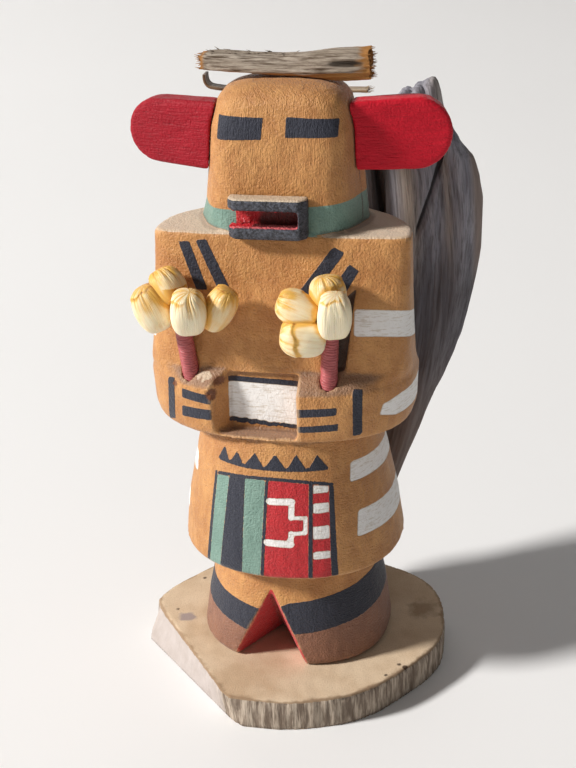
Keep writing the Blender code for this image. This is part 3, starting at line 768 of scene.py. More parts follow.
def figureMaterial():
    material, tree, shader = newMaterial("painted carving")
    place = objectPlace(tree)
    broad = grain(tree, place, (16, 16, 22), 3.0)
    middle = grain(tree, place, (3.2, 3.2, 4.5), 3.0)
    stipple = grain(tree, place, (0.75, 0.75, 0.75), 2.0, 0.6)
    brush = grain(tree, place, (0.45, 0.45, 5.0), 3.0, 0.6)
    smear = grain(tree, place, (3.2, 3.2, 0.5), 3.0, 0.6)
    wobble = sums(tree, "MULTIPLY_ADD", grain(tree, place, (1.1, 1.1, 1.1), 2.0), 0.7, -0.35)
    ridge = number(tree, "ridge")

    def covers(name, soft=0.10, rough=0.55):
        edge = sums(tree, "MULTIPLY_ADD", wobble, rough, number(tree, name))
        return ranged(tree, edge, -soft, soft)

    def tone(name, share):
        return shades(tree, share, *paint[name])

    specks = times(tree, ranged(tree, stipple, 0.61, 0.67), number(tree, "roughRed"))
    # dark paint and painted shade deep in the mouth
    redLayers = [(specks, (236, 150, 156)), (number(tree, "mouth"), tone("mouth", stipple))]
    thick = ranged(tree, number(tree, "white"), 0.0, 0.35)
    whiteTone = tone("white", ranged(tree, smear, 0.34, 0.50))
    whiteTone = blendOf(tree, thick, linear(206, 194, 178), whiteTone)
    navyPart, whitePart = covers("navy"), covers("white")
    pits = sums(tree, "MULTIPLY_ADD", ranged(tree, stipple, 0.34, 0.44), -0.30, 0.30)
    rubbed = ranged(tree, total(tree, (ridge, 1.0), (middle, 0.25)), 0.36, 0.62)
    chipped = ranged(tree, total(tree, (number(tree, "chip"), 1.0), (brush, 0.6)), 0.50, 0.85)
    ochre = tone("ochre", ranged(tree, total(tree, (middle, 0.5), (broad, 0.6)), 0.38, 0.72))
    colour = layered(tree, ochre, [
        (pits, (146, 90, 44)),
        (times(tree, covers("worn", 1.2, 1.6), 0.85), tone("worn", brush)),
        (covers("bare", 0.3, 0.9), tone("bare", brush)),
        (covers("brown"), tone("brown", middle)),
        (covers("teal"), tone("teal", middle)),
        (covers("red"), layered(tree, tone("red", middle), redLayers)),
        (navyPart, tone("navy", stipple)),
        (whitePart, whiteTone),
        # near black for the crack on the head, and painted shadow in the cut by the left arm
        (covers("crackAndShadow", 0.2, 0.3), tone("crackAndShadow", middle)),
        # paint rubbed thin on the outer corners, painted shade in the hollows, wood in the chips
        (times(tree, rubbed, 0.35), (214, 176, 132)),
        (ranged(tree, ridge, -0.30, -0.10, 0.45, 0.0), (84, 56, 38)),
        (chipped, (120, 70, 38)),
    ])
    link(tree, colour, shader, "Base Color")
    link(tree, ranged(tree, stipple, 0.3, 0.7, 0.48, 0.66), shader, "Roughness")
    shader.inputs["Sheen Weight"].default_value = 0.18
    shader.inputs["Sheen Roughness"].default_value = 0.45
    link(tree, ranged(tree, navyPart, 0.0, 1.0, 0.55, 0.25), shader, "Specular IOR Level")
    # short upright strokes on the face, level grain on the kilt, thick smooth white
    strokes = times(tree, grain(tree, place, (0.42, 0.42, 3.0), 2.0, 0.6), number(tree, "face"))
    level = times(tree, grain(tree, place, (3.5, 3.5, 0.42), 2.0, 0.6), number(tree, "kilt"))
    wood = ((middle, 0.9), (stipple, 0.9), (brush, 0.25), (strokes, 0.7), (level, 0.6))
    height = total(tree, *wood, (navyPart, 0.25), (whitePart, 0.3))
    height = times(tree, height, ranged(tree, whitePart, 0.0, 1.0, 1.0, 0.5))
    bumped(tree, shader, height, 0.55, 0.9)
    return material


figurePiece = addPiece("carved_figure", carveFigure(), figureMaterial())
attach(figurePiece, "root")
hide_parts("figure")
print("figure", len(figurePiece.data.polygons), "faces")

# The snout.

snoutSizes = {
    "voxel": 0.24,
    "smooth": 40,
    "slotFoot": 173.5,
    "slotTop": 178.9,
    "slotRight": 7.3,
    "rim": -22.5,
    "lip": -21.0,  # the lips lie in front of this
    "bareFrom": 181.1,
    # beyond this the slot is painted dark: partly dark paint, partly painted shade
    "brightTo": -8.5,  # the slot is bright red as far as this, and dark beyond it
}


def carveSnout():
    mesh = remeshed(copyOfNode("snout"), "snoutSkin", snoutSizes["voxel"])
    smoothMesh(mesh, snoutSizes["smooth"], keepSize=False)
    co, normal = places(mesh), normalsOf(mesh)
    x, y, z = co.T
    slot = between(z, snoutSizes["slotFoot"] - 0.4, snoutSizes["slotTop"] + 0.4)
    behindRim = within(y - snoutSizes["rim"], (0.75 + normal[:, 1]) * 3)
    inner = within(slot, snoutSizes["slotRight"] + 0.5 - x, behindRim)
    rough = 0.35 * noiseAt(co, (0.7, 0.7, 0.7), 5.0) * (inner > 0)
    pushOut(mesh, 0.05 * noiseAt(co, (2.0, 1.2, 1.2), 1.0) + rough)
    setNumbers(mesh, "red", inner)
    lowerLip = (z < 175) & (y < snoutSizes["lip"])
    onLip = ((normal[:, 2] > 0.6) & lowerLip) | ((z > 178.2) & (y < -22.0))
    # dark paint and painted shade deep in the slot; the lips' tops are left out
    deep = (x - snoutSizes["brightTo"] + 1.2 * noiseAt(co, (1.2, 1.2, 1.2), 2.0)) / 1.5
    setNumbers(mesh, "deep", np.clip(deep, 0, 1) * ~onLip)
    setNumbers(mesh, "lip", np.clip((normal[:, 2] - 0.6) * 4, 0, 1) * lowerLip)
    setNumbers(mesh, "bare", within((normal[:, 2] - 0.45) * 3, z - snoutSizes["bareFrom"]))
    return mesh


def snoutMaterial():
    material, tree, shader = newMaterial("painted snout")
    place = objectPlace(tree)
    fine = grain(tree, place, (0.9, 0.9, 0.7), 4.0, 0.65)
    long = grain(tree, place, (5.0, 0.5, 0.5), 3.0)
    speck = grain(tree, place, (0.35, 0.35, 0.35), 1.0)
    wobble = sums(tree, "MULTIPLY_ADD", fine, 0.8, -0.4)

    def covers(name):
        return ranged(tree, sums(tree, "ADD", number(tree, name), wobble), -0.1, 0.1)

    redTone = layered(tree, shades(tree, fine, (150, 4, 16), (226, 24, 42)), [
        (ranged(tree, speck, 0.62, 0.70, 0.0, 0.7), (238, 170, 172)),
        # dark paint and painted shade deep in the slot
        (times(tree, number(tree, "deep"), 0.92), shades(tree, fine, (38, 11, 10), (86, 24, 22))),
        (times(tree, number(tree, "lip"), 0.7), (206, 108, 112)),
    ])
    navyTone = shades(tree, ranged(tree, fine, 0.35, 0.65), (30, 30, 37), (82, 85, 96))
    bareTone = shades(tree, long, (176, 152, 126), (226, 208, 184))
    colour = layered(tree, navyTone, [(covers("red"), redTone), (covers("bare"), bareTone)])
    link(tree, colour, shader, "Base Color")
    shader.inputs["Roughness"].default_value = 0.55
    bumped(tree, shader, total(tree, (long, 1.0), (fine, 2.0)), 0.35, 0.9)
    return material


snoutPiece = addPiece("square_snout", carveSnout(), snoutMaterial())
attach(snoutPiece, "root")
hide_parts("snout")

# The ears.

earSizes = {"voxel": 0.42, "smooth": 12, "ridge": 0.10, "swell": 0.08}
# The right ear's red is painted darker as painted shade, and the left ear's lighter as painted
# light: each ear's dark and light tone.
earShadedAndLitTones = {
    "right_ear": ((142, 14, 30), (170, 24, 42)),
    "left_ear": ((184, 18, 38), (214, 30, 50)),
}


def earMaterial(node):
    material, tree, shader = newMaterial("painted " + node)
    place = objectPlace(tree)
    ridges = grain(tree, place, (7.0, 2.0, 0.55), 3.0, 0.6)
    fine = grain(tree, place, (0.7, 0.7, 0.7), 2.0)
    broad = grain(tree, place, (9, 9, 6), 2.0)
    groove = [part * 0.45 for part in linear(*earShadedAndLitTones[node][0])]
    colour = shades(tree, broad, *earShadedAndLitTones[node])
    colour = blendOf(tree, ranged(tree, ridges, 0.30, 0.44, 0.30, 0.0), colour, groove)
    rubbed = ranged(tree, total(tree, (number(tree, "ridge"), 1.0), (fine, 0.30)), 0.26, 0.48)
    colour = layered(tree, colour, [(times(tree, rubbed, 0.45), (190, 88, 82))])
    link(tree, colour, shader, "Base Color")
    link(tree, ranged(tree, ridges, 0.3, 0.7, 0.42, 0.6), shader, "Roughness")
    shader.inputs["Specular IOR Level"].default_value = 0.2
    bumped(tree, shader, total(tree, (fine, 0.7), (ridges, 1.0)), 0.55, 0.9)
    return material


def makeEars():
    for node in earShadedAndLitTones:
        mesh = remeshed(copyOfNode(node), node + "Skin", earSizes["voxel"])
        smoothMesh(mesh, earSizes["smooth"], keepSize=False)
        co = places(mesh)
        amount = earSizes["ridge"] * noiseAt(co, (9, 3, 0.9), 2.0)
        amount += earSizes["swell"] * noiseAt(co, (4, 4, 3), 5.5)
        setNumbers(mesh, "ridge", ridgeOf(mesh))
        pushOut(mesh, amount)
        piece = addPiece("painted_" + node, mesh, earMaterial(node))
        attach(piece, "root")
        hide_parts(node)


makeEars()
print("snout and ears done")

# Stems wound with thread.

stemSizes = {
    "core": 2.3,
    "coreRows": 24,
    "coreSides": 20,
    "path": 2.04,  # radius of the winding's middle line
    "thread": 0.81,
    "turn": 0.98,  # rise of one turn
    "wander": 0.6,
    "sides": 8,
    "steps": 24,
}


def axisOf(node):
    # foot and head of a straight round node, in millimetres
    co = places(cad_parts[node].data)
    middle = co.mean(axis=0)
    way = np.linalg.svd(co - middle, full_matrices=False)[2][0]
    way = way if way[2] > 0 else -way
    along = (co - middle) @ way
    return middle + way * along.min(), middle + way * along.max()


def newGeometryTree(name, inputs):
    tree = bpy.data.node_groups.new(name, "GeometryNodeTree")
    tree.interface.new_socket("Geometry", in_out="INPUT", socket_type="NodeSocketGeometry")
    for label, kind in inputs:
        tree.interface.new_socket(label, in_out="INPUT", socket_type="NodeSocket" + kind)
    tree.interface.new_socket("Geometry", in_out="OUTPUT", socket_type="NodeSocketGeometry")
    return tree, tree.nodes.new("NodeGroupInput").outputs


def endTree(tree, geometry, material):
    solid = wire(tree, "GeometryNodeRealizeInstances", {"Geometry": geometry})
    dressed = wire(tree, "GeometryNodeSetMaterial", {"Geometry": solid, "Material": material})
    tree.links.new(dressed, tree.nodes.new("NodeGroupOutput").inputs[0])


def growWith(holder, tree, values, name):
    # puts the tree on the holder, sets its inputs by identifier and takes the plain mesh
    nodes = holder.modifiers.new(tree.name, "NODES")
    nodes.node_group = tree
    for socket in tree.interface.items_tree:
        if socket.in_out == "INPUT" and socket.name in values:
            nodes[socket.identifier] = values[socket.name]
    return plainMesh(holder, name)


def windingTree():
    sizes = [(label, "Float") for label in ("Turns", "Radius", "Length", "Thread")]
    counts = [("Steps", "Int"), ("Sides", "Int")]
    tree, given = newGeometryTree("thread winding", sizes + counts + [("Material", "Material")])
    coil = {"Resolution": given["Steps"], "Rotations": given["Turns"], "Height": given["Length"]}
    coil |= {"Start Radius": given["Radius"], "End Radius": given["Radius"]}
    path = wire(tree, "GeometryNodeCurveSpiral", coil)
    # the thread wanders a little from turn to turn
    spot = wire(tree, "GeometryNodeInputPosition")
    drift = wire(tree, "ShaderNodeTexNoise", {"Vector": spot, "Scale": 700.0}, out="Color")
    halves = {0: drift, 1: (0.5, 0.5, 0.5)}
    centred = wire(tree, "ShaderNodeVectorMath", halves, operation="SUBTRACT")
    small = {0: centred, "Scale": stemSizes["wander"] * mm}
    shift = wire(tree, "ShaderNodeVectorMath", small, operation="SCALE")
    path = wire(tree, "GeometryNodeSetPosition", {"Geometry": path, "Offset": shift})
    circle = {"Resolution": given["Sides"], "Radius": given["Thread"]}
    ring = wire(tree, "GeometryNodeCurvePrimitiveCircle", circle)
    ends = {"Curve": path, "Profile Curve": ring, "Fill Caps": True}
    endTree(tree, wire(tree, "GeometryNodeCurveToMesh", ends), given["Material"])
    return tree


def threadMaterial():
    material, tree, shader = newMaterial("wound thread")
    place = objectPlace(tree)
    twist = grain(tree, place, (1.6, 1.6, 0.16), 2.0)
    broad = grain(tree, place, (4, 4, 1.4), 2.0)
    furrow = ranged(tree, twist, 0.30, 0.48, 0.35, 0.0)
    colour = shades(tree, broad, (152, 66, 70), (194, 104, 104))
    link(tree, layered(tree, colour, [(furrow, (116, 44, 50))]), shader, "Base Color")
    shader.inputs["Roughness"].default_value = 0.45
    bumped(tree, shader, twist, 0.12, 0.8)
    return material


def coreRows(length):
    radius, sides = stemSizes["core"], stemSizes["coreSides"]
    turns = [2 * pi * step / sides for step in range(sides)]
    ring = [(radius * cos(turn), radius * sin(turn)) for turn in turns]
    levels = np.linspace(0, length, stemSizes["coreRows"])
    return [[(*spot, level) for spot in ring] for level in levels]


def makeStems():
    tree, material = windingTree(), threadMaterial()
    for node in ("right_stem", "left_stem"):
        foot, head = axisOf(node)
        length = np.linalg.norm(head - foot)
        upright = Vector(head - foot).normalized().to_track_quat("Z", "Y")
        frameOf = Matrix.Translation(Vector(foot) * mm) @ upright.to_matrix().to_4x4()
        clear = stemSizes["thread"] + 0.1
        holder = addPiece(node + "Holder", bpy.data.meshes.new("holder"))
        values = {
            "Turns": (length - 2 * clear) / stemSizes["turn"],
            "Radius": stemSizes["path"] * mm,
            "Length": (length - 2 * clear) * mm,
            "Thread": stemSizes["thread"] * mm,
            "Steps": stemSizes["steps"],
            "Sides": stemSizes["sides"],
            "Material": material,
        }
        winding = growWith(holder, tree, values, node + "Winding")
        winding.transform(frameOf @ Matrix.Translation((0, 0, clear * mm)))
        core = gridMesh(node + "Core", coreRows(length))
        core.transform(frameOf)
        shape = bmesh.new()
        shape.from_mesh(core)
        shape.from_mesh(winding)
        piece = addPiece("wound_" + node, meshOf(shape, node + "Thread"), material)
        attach(piece, "root")
        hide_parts(node)


makeStems()
print("stems done")

# Buds of folded husk.

# Name, centre from the top of the hand, length, radius, lean, turn, then the husk's own: how
# boxy it is, where its fold lies round it and how far up, how strong its pleats are, and how
# golden it has turned.
buds = [
    ("right_bud_3", (3.2, -10.0, 26.0), 15.4, 5.7, 14, 80, 3.0, 250, 0.70, 1.1, 0.06),
    ("right_bud_2", (-10.0, -5.6, 25.0), 16.0, 6.0, 22, 172, 2.2, 60, 0.80, 0.8, 0.22),
    ("right_bud_4", (12.0, -5.0, 25.6), 15.8, 5.3, 30, 5, 2.3, 200, 0.84, 0.8, 0.32),
    ("right_bud_1", (-5.4, -2.6, 31.6), 12.4, 5.7, 38, 205, 2.1, 330, 0.74, 1.5, 0.30),
    ("left_bud_4", (3.4, -8.6, 27.4), 15.4, 5.3, 12, 80, 3.6, 300, 0.80, 0.7, -0.12),
    ("left_bud_2", (-9.0, -4.6, 27.4), 14.2, 5.4, 64, 178, 2.5, 280, 0.62, 1.3, 0.22),
    ("left_bud_3", (-7.2, -5.6, 18.6), 15.0, 6.2, 80, 170, 3.2, 90, 0.62, 0.9, 0.12),
    ("left_bud_1", (0.0, -0.6, 31.4), 12.0, 5.8, 12, 200, 2.1, 240, 0.74, 0.9, 0.20),
]
husk = {
    "around": 160,
    "along": 100,
    "bottom": 0.46,  # how full the smooth end is: less is blunter
    "top": 0.66,
    "pleats": ((8, 0.55), (15, 0.30), (27, 0.15)),  # how many run round, and how deep
    "crease": 0.21,  # depth of the pleats, as a share of the radius
    "flap": 0.55,  # thickness of the fold
    "tip": 0.9,  # how far the gathered end leans over
    "handTop": 122.7,
    "shadeReach": 2.4,  # how near a neighbour has to be before the husk is darkened with painted shade
    "stem": 2.6,  # radius of the stem
}


def budFrame(name, centre, lean, turn):
    foot, head = axisOf(name.split("_")[0] + "_stem")
    share = (husk["handTop"] - foot[2]) / (head[2] - foot[2])
    base = Vector(foot + (head - foot) * share) + Vector(centre)
    turned = Matrix.Rotation(-radians(turn), 4, "Z") @ Matrix.Rotation(radians(lean), 4, "Y")
    return Matrix.Translation(base) @ turned


def budMesh(name, length, radius, boxy, foldAt, foldUp, pleats, golden, seed):
    rows, folds, fibres = [], [], []
    shift, foldTurn = seed * 1.73, radians(foldAt)
    for row in range(husk["along"] + 1):
        share = (row + 0.3) / (husk["along"] + 0.6)
        angle = pi * share
        level = -cos(angle) * length / 2
        body = radius * sin(angle) ** (husk["bottom"] + (husk["top"] - husk["bottom"]) * share)
        top = min(1.0, max(0.0, (share - 0.44) / 0.42)) ** 1.2
        tip = max(0.0, (share - 0.78) / 0.22) ** 1.5 * husk["tip"]
        points = []
        for step in range(husk["around"]):
            turn = 2 * pi * step / husk["around"]
            boxed = (abs(cos(turn)) ** boxy + abs(sin(turn)) ** boxy) ** (-1 / boxy)
            soft = boxed * (1 + 0.03 * cos(3 * turn + shift) + 0.025 * cos(2 * turn - 2 * shift))
            uneven = turn + 0.22 * sin(2 * turn + shift) + 0.10 * sin(5 * turn - shift)
            uneven += 0.5 * (share - 0.5)
            valley = 0.0
            for count, depth in husk["pleats"]:
                valley += depth * (1 - abs(sin(count * uneven / 2 + shift * count))) ** 2.4
            crease = husk["crease"] * pleats * (0.05 + 0.95 * top) * valley
            # the husk's end is folded over one side: a thin step that runs slantwise
            reachRound = max(0.0, cos(turn - foldTurn) + 0.25) ** 0.5
            edge = foldUp + 0.09 * sin(turn - foldTurn) + 0.018 * sin(7 * turn + shift)
            over = reachRound / (1 + np.exp(-(share - edge) * 110))
            reach = body * soft * (1 - crease) + husk["flap"] * over * sin(angle) ** 0.6
            across = reach * cos(turn) + tip * cos(shift)
            points.append((across, reach * sin(turn) + tip * sin(shift), level))
            # painted shade: the fold number is darker in the pleats' valleys and just under the
            # flap's edge; it also holds the bud's golden tone and more gold towards the top
            under = np.exp(-(((share - edge + 0.012) * 30) ** 2)) * min(1.0, reachRound)
            pleated = valley * pleats * (0.03 + 0.95 * top)
            folds.append(golden + min(1.0, pleated + 0.5 * under + 0.22 * top))
            fibres.append((turn * radius, share * length, seed * 5.0))
        rows.append(points)
    mesh = gridMesh(name, rows)
    extra = len(mesh.vertices) - len(folds)
    setNumbers(mesh, "fold", folds + [0.5] * extra)
    setVectors(mesh, "fibre", fibres + [(0.0, 0.0, 0.0)] * extra)
    return mesh


def shadeNearNeighbours(co, name, frames, sizes):
    # painted shade between parts: 1 where a neighbour or the stem touches, 0 where they are
    # further off than the shade's reach
    near = np.zeros(len(co))
    side = name.split("_")[0]
    for other, (length, radius) in sizes.items():
        if other == name or not other.startswith(side):
            continue
        back = np.array(frames[other].inverted())
        local = co @ back[:3, :3].T + back[:3, 3]
        away = (np.linalg.norm(local / (radius, radius, length / 2), axis=1) - 1) * radius
        near = np.maximum(near, 1 - away / husk["shadeReach"])
    foot, head = axisOf(side + "_stem")
    way = (head - foot) / np.linalg.norm(head - foot)
    away = np.linalg.norm(np.cross(co - foot, way), axis=1) - husk["stem"]
    near = np.maximum(near, (1 - away / husk["shadeReach"]) * (co[:, 2] < head[2] + 4))
    return np.clip(near, 0, 1)


def huskMaterial(name, pale, gold, deep):
    material, tree, shader = newMaterial(name)
    way = storedPlace(tree, "fibre")
    strands = grain(tree, way, (0.35, 7.0, 1.0), 3.0, 0.6, unit=1.0)
    wide = grain(tree, way, (1.4, 9.0, 1.0), 3.0, 0.6, unit=1.0)
    blotch = grain(tree, objectPlace(tree), (6, 6, 6), 2.0)
    fold, shadeAndDarkEnd = number(tree, "fold"), number(tree, "shadeAndDarkEnd")
    # the gold and deep tones come partly from painted shade: between the buds, against the stem,
    # in the pleats and under the flap
    golden = total(tree, (fold, 1.0), (blotch, 0.6), (wide, 0.5), (shadeAndDarkEnd, 0.9))
    darkest = total(tree, (fold, 1.0), (shadeAndDarkEnd, 0.75))
    colour = layered(tree, shades(tree, ranged(tree, golden, 0.62, 1.22), pale, gold), [
        (ranged(tree, darkest, 0.70, 1.45, 0.0, 0.9), deep),
        (ranged(tree, strands, 0.30, 0.50, 0.18, 0.0), gold),
    ])
    link(tree, colour, shader, "Base Color")
    link(tree, ranged(tree, strands, 0.3, 0.7, 0.30, 0.46), shader, "Roughness")
    shader.inputs["Subsurface Weight"].default_value = 0.15
    shader.inputs["Subsurface Radius"].default_value = (0.004, 0.0025, 0.0012)
    shader.inputs["Subsurface Scale"].default_value = 0.5
    bumped(tree, shader, total(tree, (strands, 1.0), (wide, 0.7)), 0.30, 0.8)
    return material


def makeBuds():
    material = huskMaterial("folded husk", (250, 236, 202), (230, 180, 88), (156, 88, 32))
    frames = {bud[0]: budFrame(bud[0], bud[1], bud[4], bud[5]) for bud in buds}
    sizes = {bud[0]: (bud[2], bud[3]) for bud in buds}
    for seed, (name, _, length, radius, _, _, *own) in enumerate(buds, 1):
        mesh = budMesh(name + "Husk", length - 0.2, radius + 0.05, *own, seed)
        inMetres = Matrix.Scale(mm, 4) @ frames[name] @ Matrix.Scale(1 / mm, 4)
        mesh.transform(inMetres)
        # painted shade where neighbours and the stem come close
        setNumbers(mesh, "shadeAndDarkEnd", shadeNearNeighbours(places(mesh), name, frames, sizes))
        piece = addPiece("husk_" + name, mesh, material)
        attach(piece, "root")
        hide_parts(name)


makeBuds()
print("buds done")

# Weathered wood and the dry strip of husk.

fray = {"sides": 5, "seed": 11, "lean": 0.22, "tip": 0.04}


def fibreTree():
    sizes = [(label, "Float") for label in ("Density", "Length", "Thickness")]
    rest = [("Seed", "Int"), ("Material", "Material")]
    tree, given = newGeometryTree("broken fibres", sizes + rest)

    def stored(name, kind):
        return wire(tree, "GeometryNodeInputNamedAttribute", {"Name": name}, data_type=kind)

    amount = times(tree, stored("frayed", "FLOAT"), given["Density"])
    where = {"Mesh": given["Geometry"], "Density": amount, "Seed": given["Seed"]}
    points = wire(tree, "GeometryNodeDistributePointsOnFaces", where, out="Points")
    # leans each fibre a little off the grain
    off = {"Min": (-fray["lean"],) * 3, "Max": (fray["lean"],) * 3, "Seed": given["Seed"]}
    lean = wire(tree, "FunctionNodeRandomValue", off, data_type="FLOAT_VECTOR")
    ways = {0: stored("way", "FLOAT_VECTOR"), 1: lean}
    pointing = wire(tree, "ShaderNodeVectorMath", ways, operation="ADD")
    turned = wire(tree, "FunctionNodeAlignRotationToVector", {"Vector": pointing}, axis="Z")
    cone = {"Vertices": fray["sides"], "Side Segments": 2, "Radius Top": fray["tip"] * mm}
    cone |= {"Radius Bottom": given["Thickness"], "Depth": given["Length"]}
    spike = wire(tree, "GeometryNodeMeshCone", cone, out="Mesh")
    size = wire(tree, "FunctionNodeRandomValue", {2: 0.25, 3: 1.0}, out=1, data_type="FLOAT")
    spread = {"Points": points, "Instance": spike, "Rotation": turned, "Scale": size}
    endTree(tree, wire(tree, "GeometryNodeInstanceOnPoints", spread), given["Material"])
    return tree


def addFibres(name, base, tree, material, density, length, thickness):
    # density in fibres to the square metre, lengths in millimetres
    holder = addPiece(name + "Holder", base.copy())
    values = {"Density": density, "Length": length * mm, "Thickness": thickness * mm}
    values |= {"Seed": fray["seed"], "Material": material}
    mesh = growWith(holder, tree, values, name)
    keepInside(mesh)
    piece = addPiece(name, mesh, material)
    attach(piece, "root")
    print(name, len(mesh.polygons), "faces")
    return piece


def splintMaterial(sizes, dark, middle, light, brown):
    # grey old wood whose streaks run along the grain
    material, tree, shader = newMaterial("weathered splint")
    place = objectPlace(tree)
    streak = grain(tree, place, sizes, 5.0, 0.62)
    thin = grain(tree, place, [size * 0.28 for size in sizes], 4.0, 0.65)
    broad = grain(tree, place, [size * 4.0 for size in sizes], 2.0)
    colour = layered(tree, shades(tree, ranged(tree, streak, 0.34, 0.66), dark, light), [
        (ranged(tree, broad, 0.35, 0.65, 0.0, 0.6), middle),
        (ranged(tree, thin, 0.32, 0.46, 0.45, 0.0), dark),
    ])
    # painted shade: the grooves and the hollow are darkened
    groove = ranged(tree, number(tree, "ridge"), -0.36, -0.06, 0.8, 0.0)
    colour = blendOf(tree, groove, colour, [part * 0.22 for part in linear(*dark)])
    brown = linear(*brown)
    brownTone = blendOf(tree, thin, [part * 0.5 for part in brown], brown)
    colour = blendOf(tree, ranged(tree, number(tree, "brown"), 0.2, 0.8), colour, brownTone)
    link(tree, colour, shader, "Base Color")
    shader.inputs["Roughness"].default_value = 0.85
    shader.inputs["Specular IOR Level"].default_value = 0.2
    bumped(tree, shader, total(tree, (streak, 1.0), (thin, 0.6)), 0.5, 0.9)
    return material


splintSizes = {
    "voxel": 0.30,
    "smooth": 3,
    "groove": 0.30,
    "grain": (9.0, 0.9, 0.7),  # how long, deep and high a streak is
    "hollow": (20.5, 221.4, 4.6),  # at the front of the left end: across, up, half length
    "hollowDepth": 1.1,
    "knot": (18.5, 217.7, 3.2),  # below the hollow
    "fibres": (2.2e6, 1.9, 0.22),  # density, length and thickness
}


def splintSpot(co, normal, spot):
    across, up, reach = spot
    near = np.exp(-((co[:, 0] - across) / reach) ** 2 - ((co[:, 2] - up) / 0.9) ** 2)
    return near * (normal[:, 1] < -0.2)


def makeSplint(tree):
    mesh = remeshed(copyOfNode("head_splint"), "splintSkin", splintSizes["voxel"])
    smoothMesh(mesh, splintSizes["smooth"])
    co, normal = places(mesh), normalsOf(mesh)
    x, _, z = co.T
    low, high = x.min(), x.max()
    ends = np.maximum(0, 1 - (x - low) / 3.0)
    ends += np.maximum(0, 1 - (high - x + 2.0 * noiseAt(co, (3, 0.9, 0.9), 7.7)) / 6.5)
    ends = np.minimum(1, ends)
    amount = splintSizes["groove"] * (noiseAt(co, (14, 1.1, 1.1), 3.0) - 0.35)
    amount += 0.12 * noiseAt(co, (5, 0.5, 0.5), 8.0)
    amount += ends * (0.5 * noiseAt(co, (3.0, 0.7, 0.7), 6.0) - 0.25)
    hollow = splintSpot(co, normal, splintSizes["hollow"])
    knot = splintSpot(co, normal, splintSizes["knot"])
    pushOut(mesh, amount - splintSizes["hollowDepth"] * hollow)
    keepInside(mesh)
    # the hollow counts as a groove, for painted shade
    setNumbers(mesh, "ridge", ridgeOf(mesh, 4) - hollow)
    lowEdge = np.clip((218.6 + 0.6 * noiseAt(co, (6, 2, 2), 1.0) - z) * 0.8, 0, 0.7)
    lowEdge *= normal[:, 1] < 0.3
    setNumbers(mesh, "brown", np.clip(ends * 1.1 + lowEdge + knot, 0, 1))
    endFaces = np.abs(normal[:, 0]) > 0.3
    frayed = 0.5 * np.clip(ends * 1.2, 0, 1) * endFaces
    frayed += 0.10 * np.clip((z - 222.6) / 1.5, 0, 1) * (x < 4)
    setNumbers(mesh, "frayed", frayed)
    side = np.where(x > (low + high) / 2, 1.0, -1.0)
    setVectors(mesh, "way", np.stack([side, 0 * side, np.where(endFaces, 0.0, 0.35)], axis=1))
    greys = ((88, 72, 58), (146, 132, 116), (202, 188, 172))
    material = splintMaterial(splintSizes["grain"], *greys, (190, 134, 76))
    piece = addPiece("weathered_splint", mesh, material)
    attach(piece, "root")
    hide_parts("head_splint")
    addFibres("splint_fibres", mesh, tree, material, *splintSizes["fibres"])


driftSizes = {
    "voxel": 0.80,
    "smooth": 5,
    "lobe": 1.5,
    "groove": 0.42,
    "splitDepth": 2.4,
    "knob": (41.5, 203.0),  # across and up
    "knobRise": 1.6,
    # places across, once the wood's bend is taken out
    "split": 29.5,
    "longSplit": 12.6,
    "rightEdge": 43.0,
    "darkTo": 18.5,
    "tanBand": 22.8,
    "thinTanBand": 36.3,
}


def driftwoodMaterial():
    material, tree, shader = newMaterial("weathered driftwood")
    way = storedPlace(tree, "grained")
    sizes = ((4.5, 60), (1.3, 34), (0.45, 16))  # a streak's width and length
    wide, fine, hair = (
        grain(tree, way, (across, across, long), 4.0, 0.62, unit=1.0) for across, long in sizes
    )
    part = {name: number(tree, name) for name in ("tan", "lower", "brown", "shade", "ridge")}
    grey = shades(tree, ranged(tree, wide, 0.34, 0.66), (122, 121, 131), (164, 162, 170))
    brownTone = shades(tree, fine, (108, 95, 90), (166, 146, 134))
    colour = layered(tree, grey, [
        (times(tree, part["tan"], 0.85), (186, 172, 158)),
        (ranged(tree, fine, 0.30, 0.56, 0.6, 0.0), (66, 60, 60)),
        (ranged(tree, hair, 0.34, 0.52, 0.4, 0.0), (62, 56, 54)),
        (times(tree, part["lower"], 0.55), (74, 67, 66)),
        (ranged(tree, part["brown"], 0.1, 0.95, 0.0, 0.85), brownTone),
        (times(tree, part["shade"], 0.9), (50, 40, 35)),
        # painted shade: near black in the hollows and splits
        (ranged(tree, part["ridge"], -0.75, -0.22, 0.85, 0.0), (26, 21, 19)),
    ])
    link(tree, colour, shader, "Base Color")
    shader.inputs["Roughness"].default_value = 0.8
    shader.inputs["Specular IOR Level"].default_value = 0.25
    bumped(tree, shader, total(tree, (fine, 1.0), (hair, 0.5)), 0.8, 0.9)
    return material


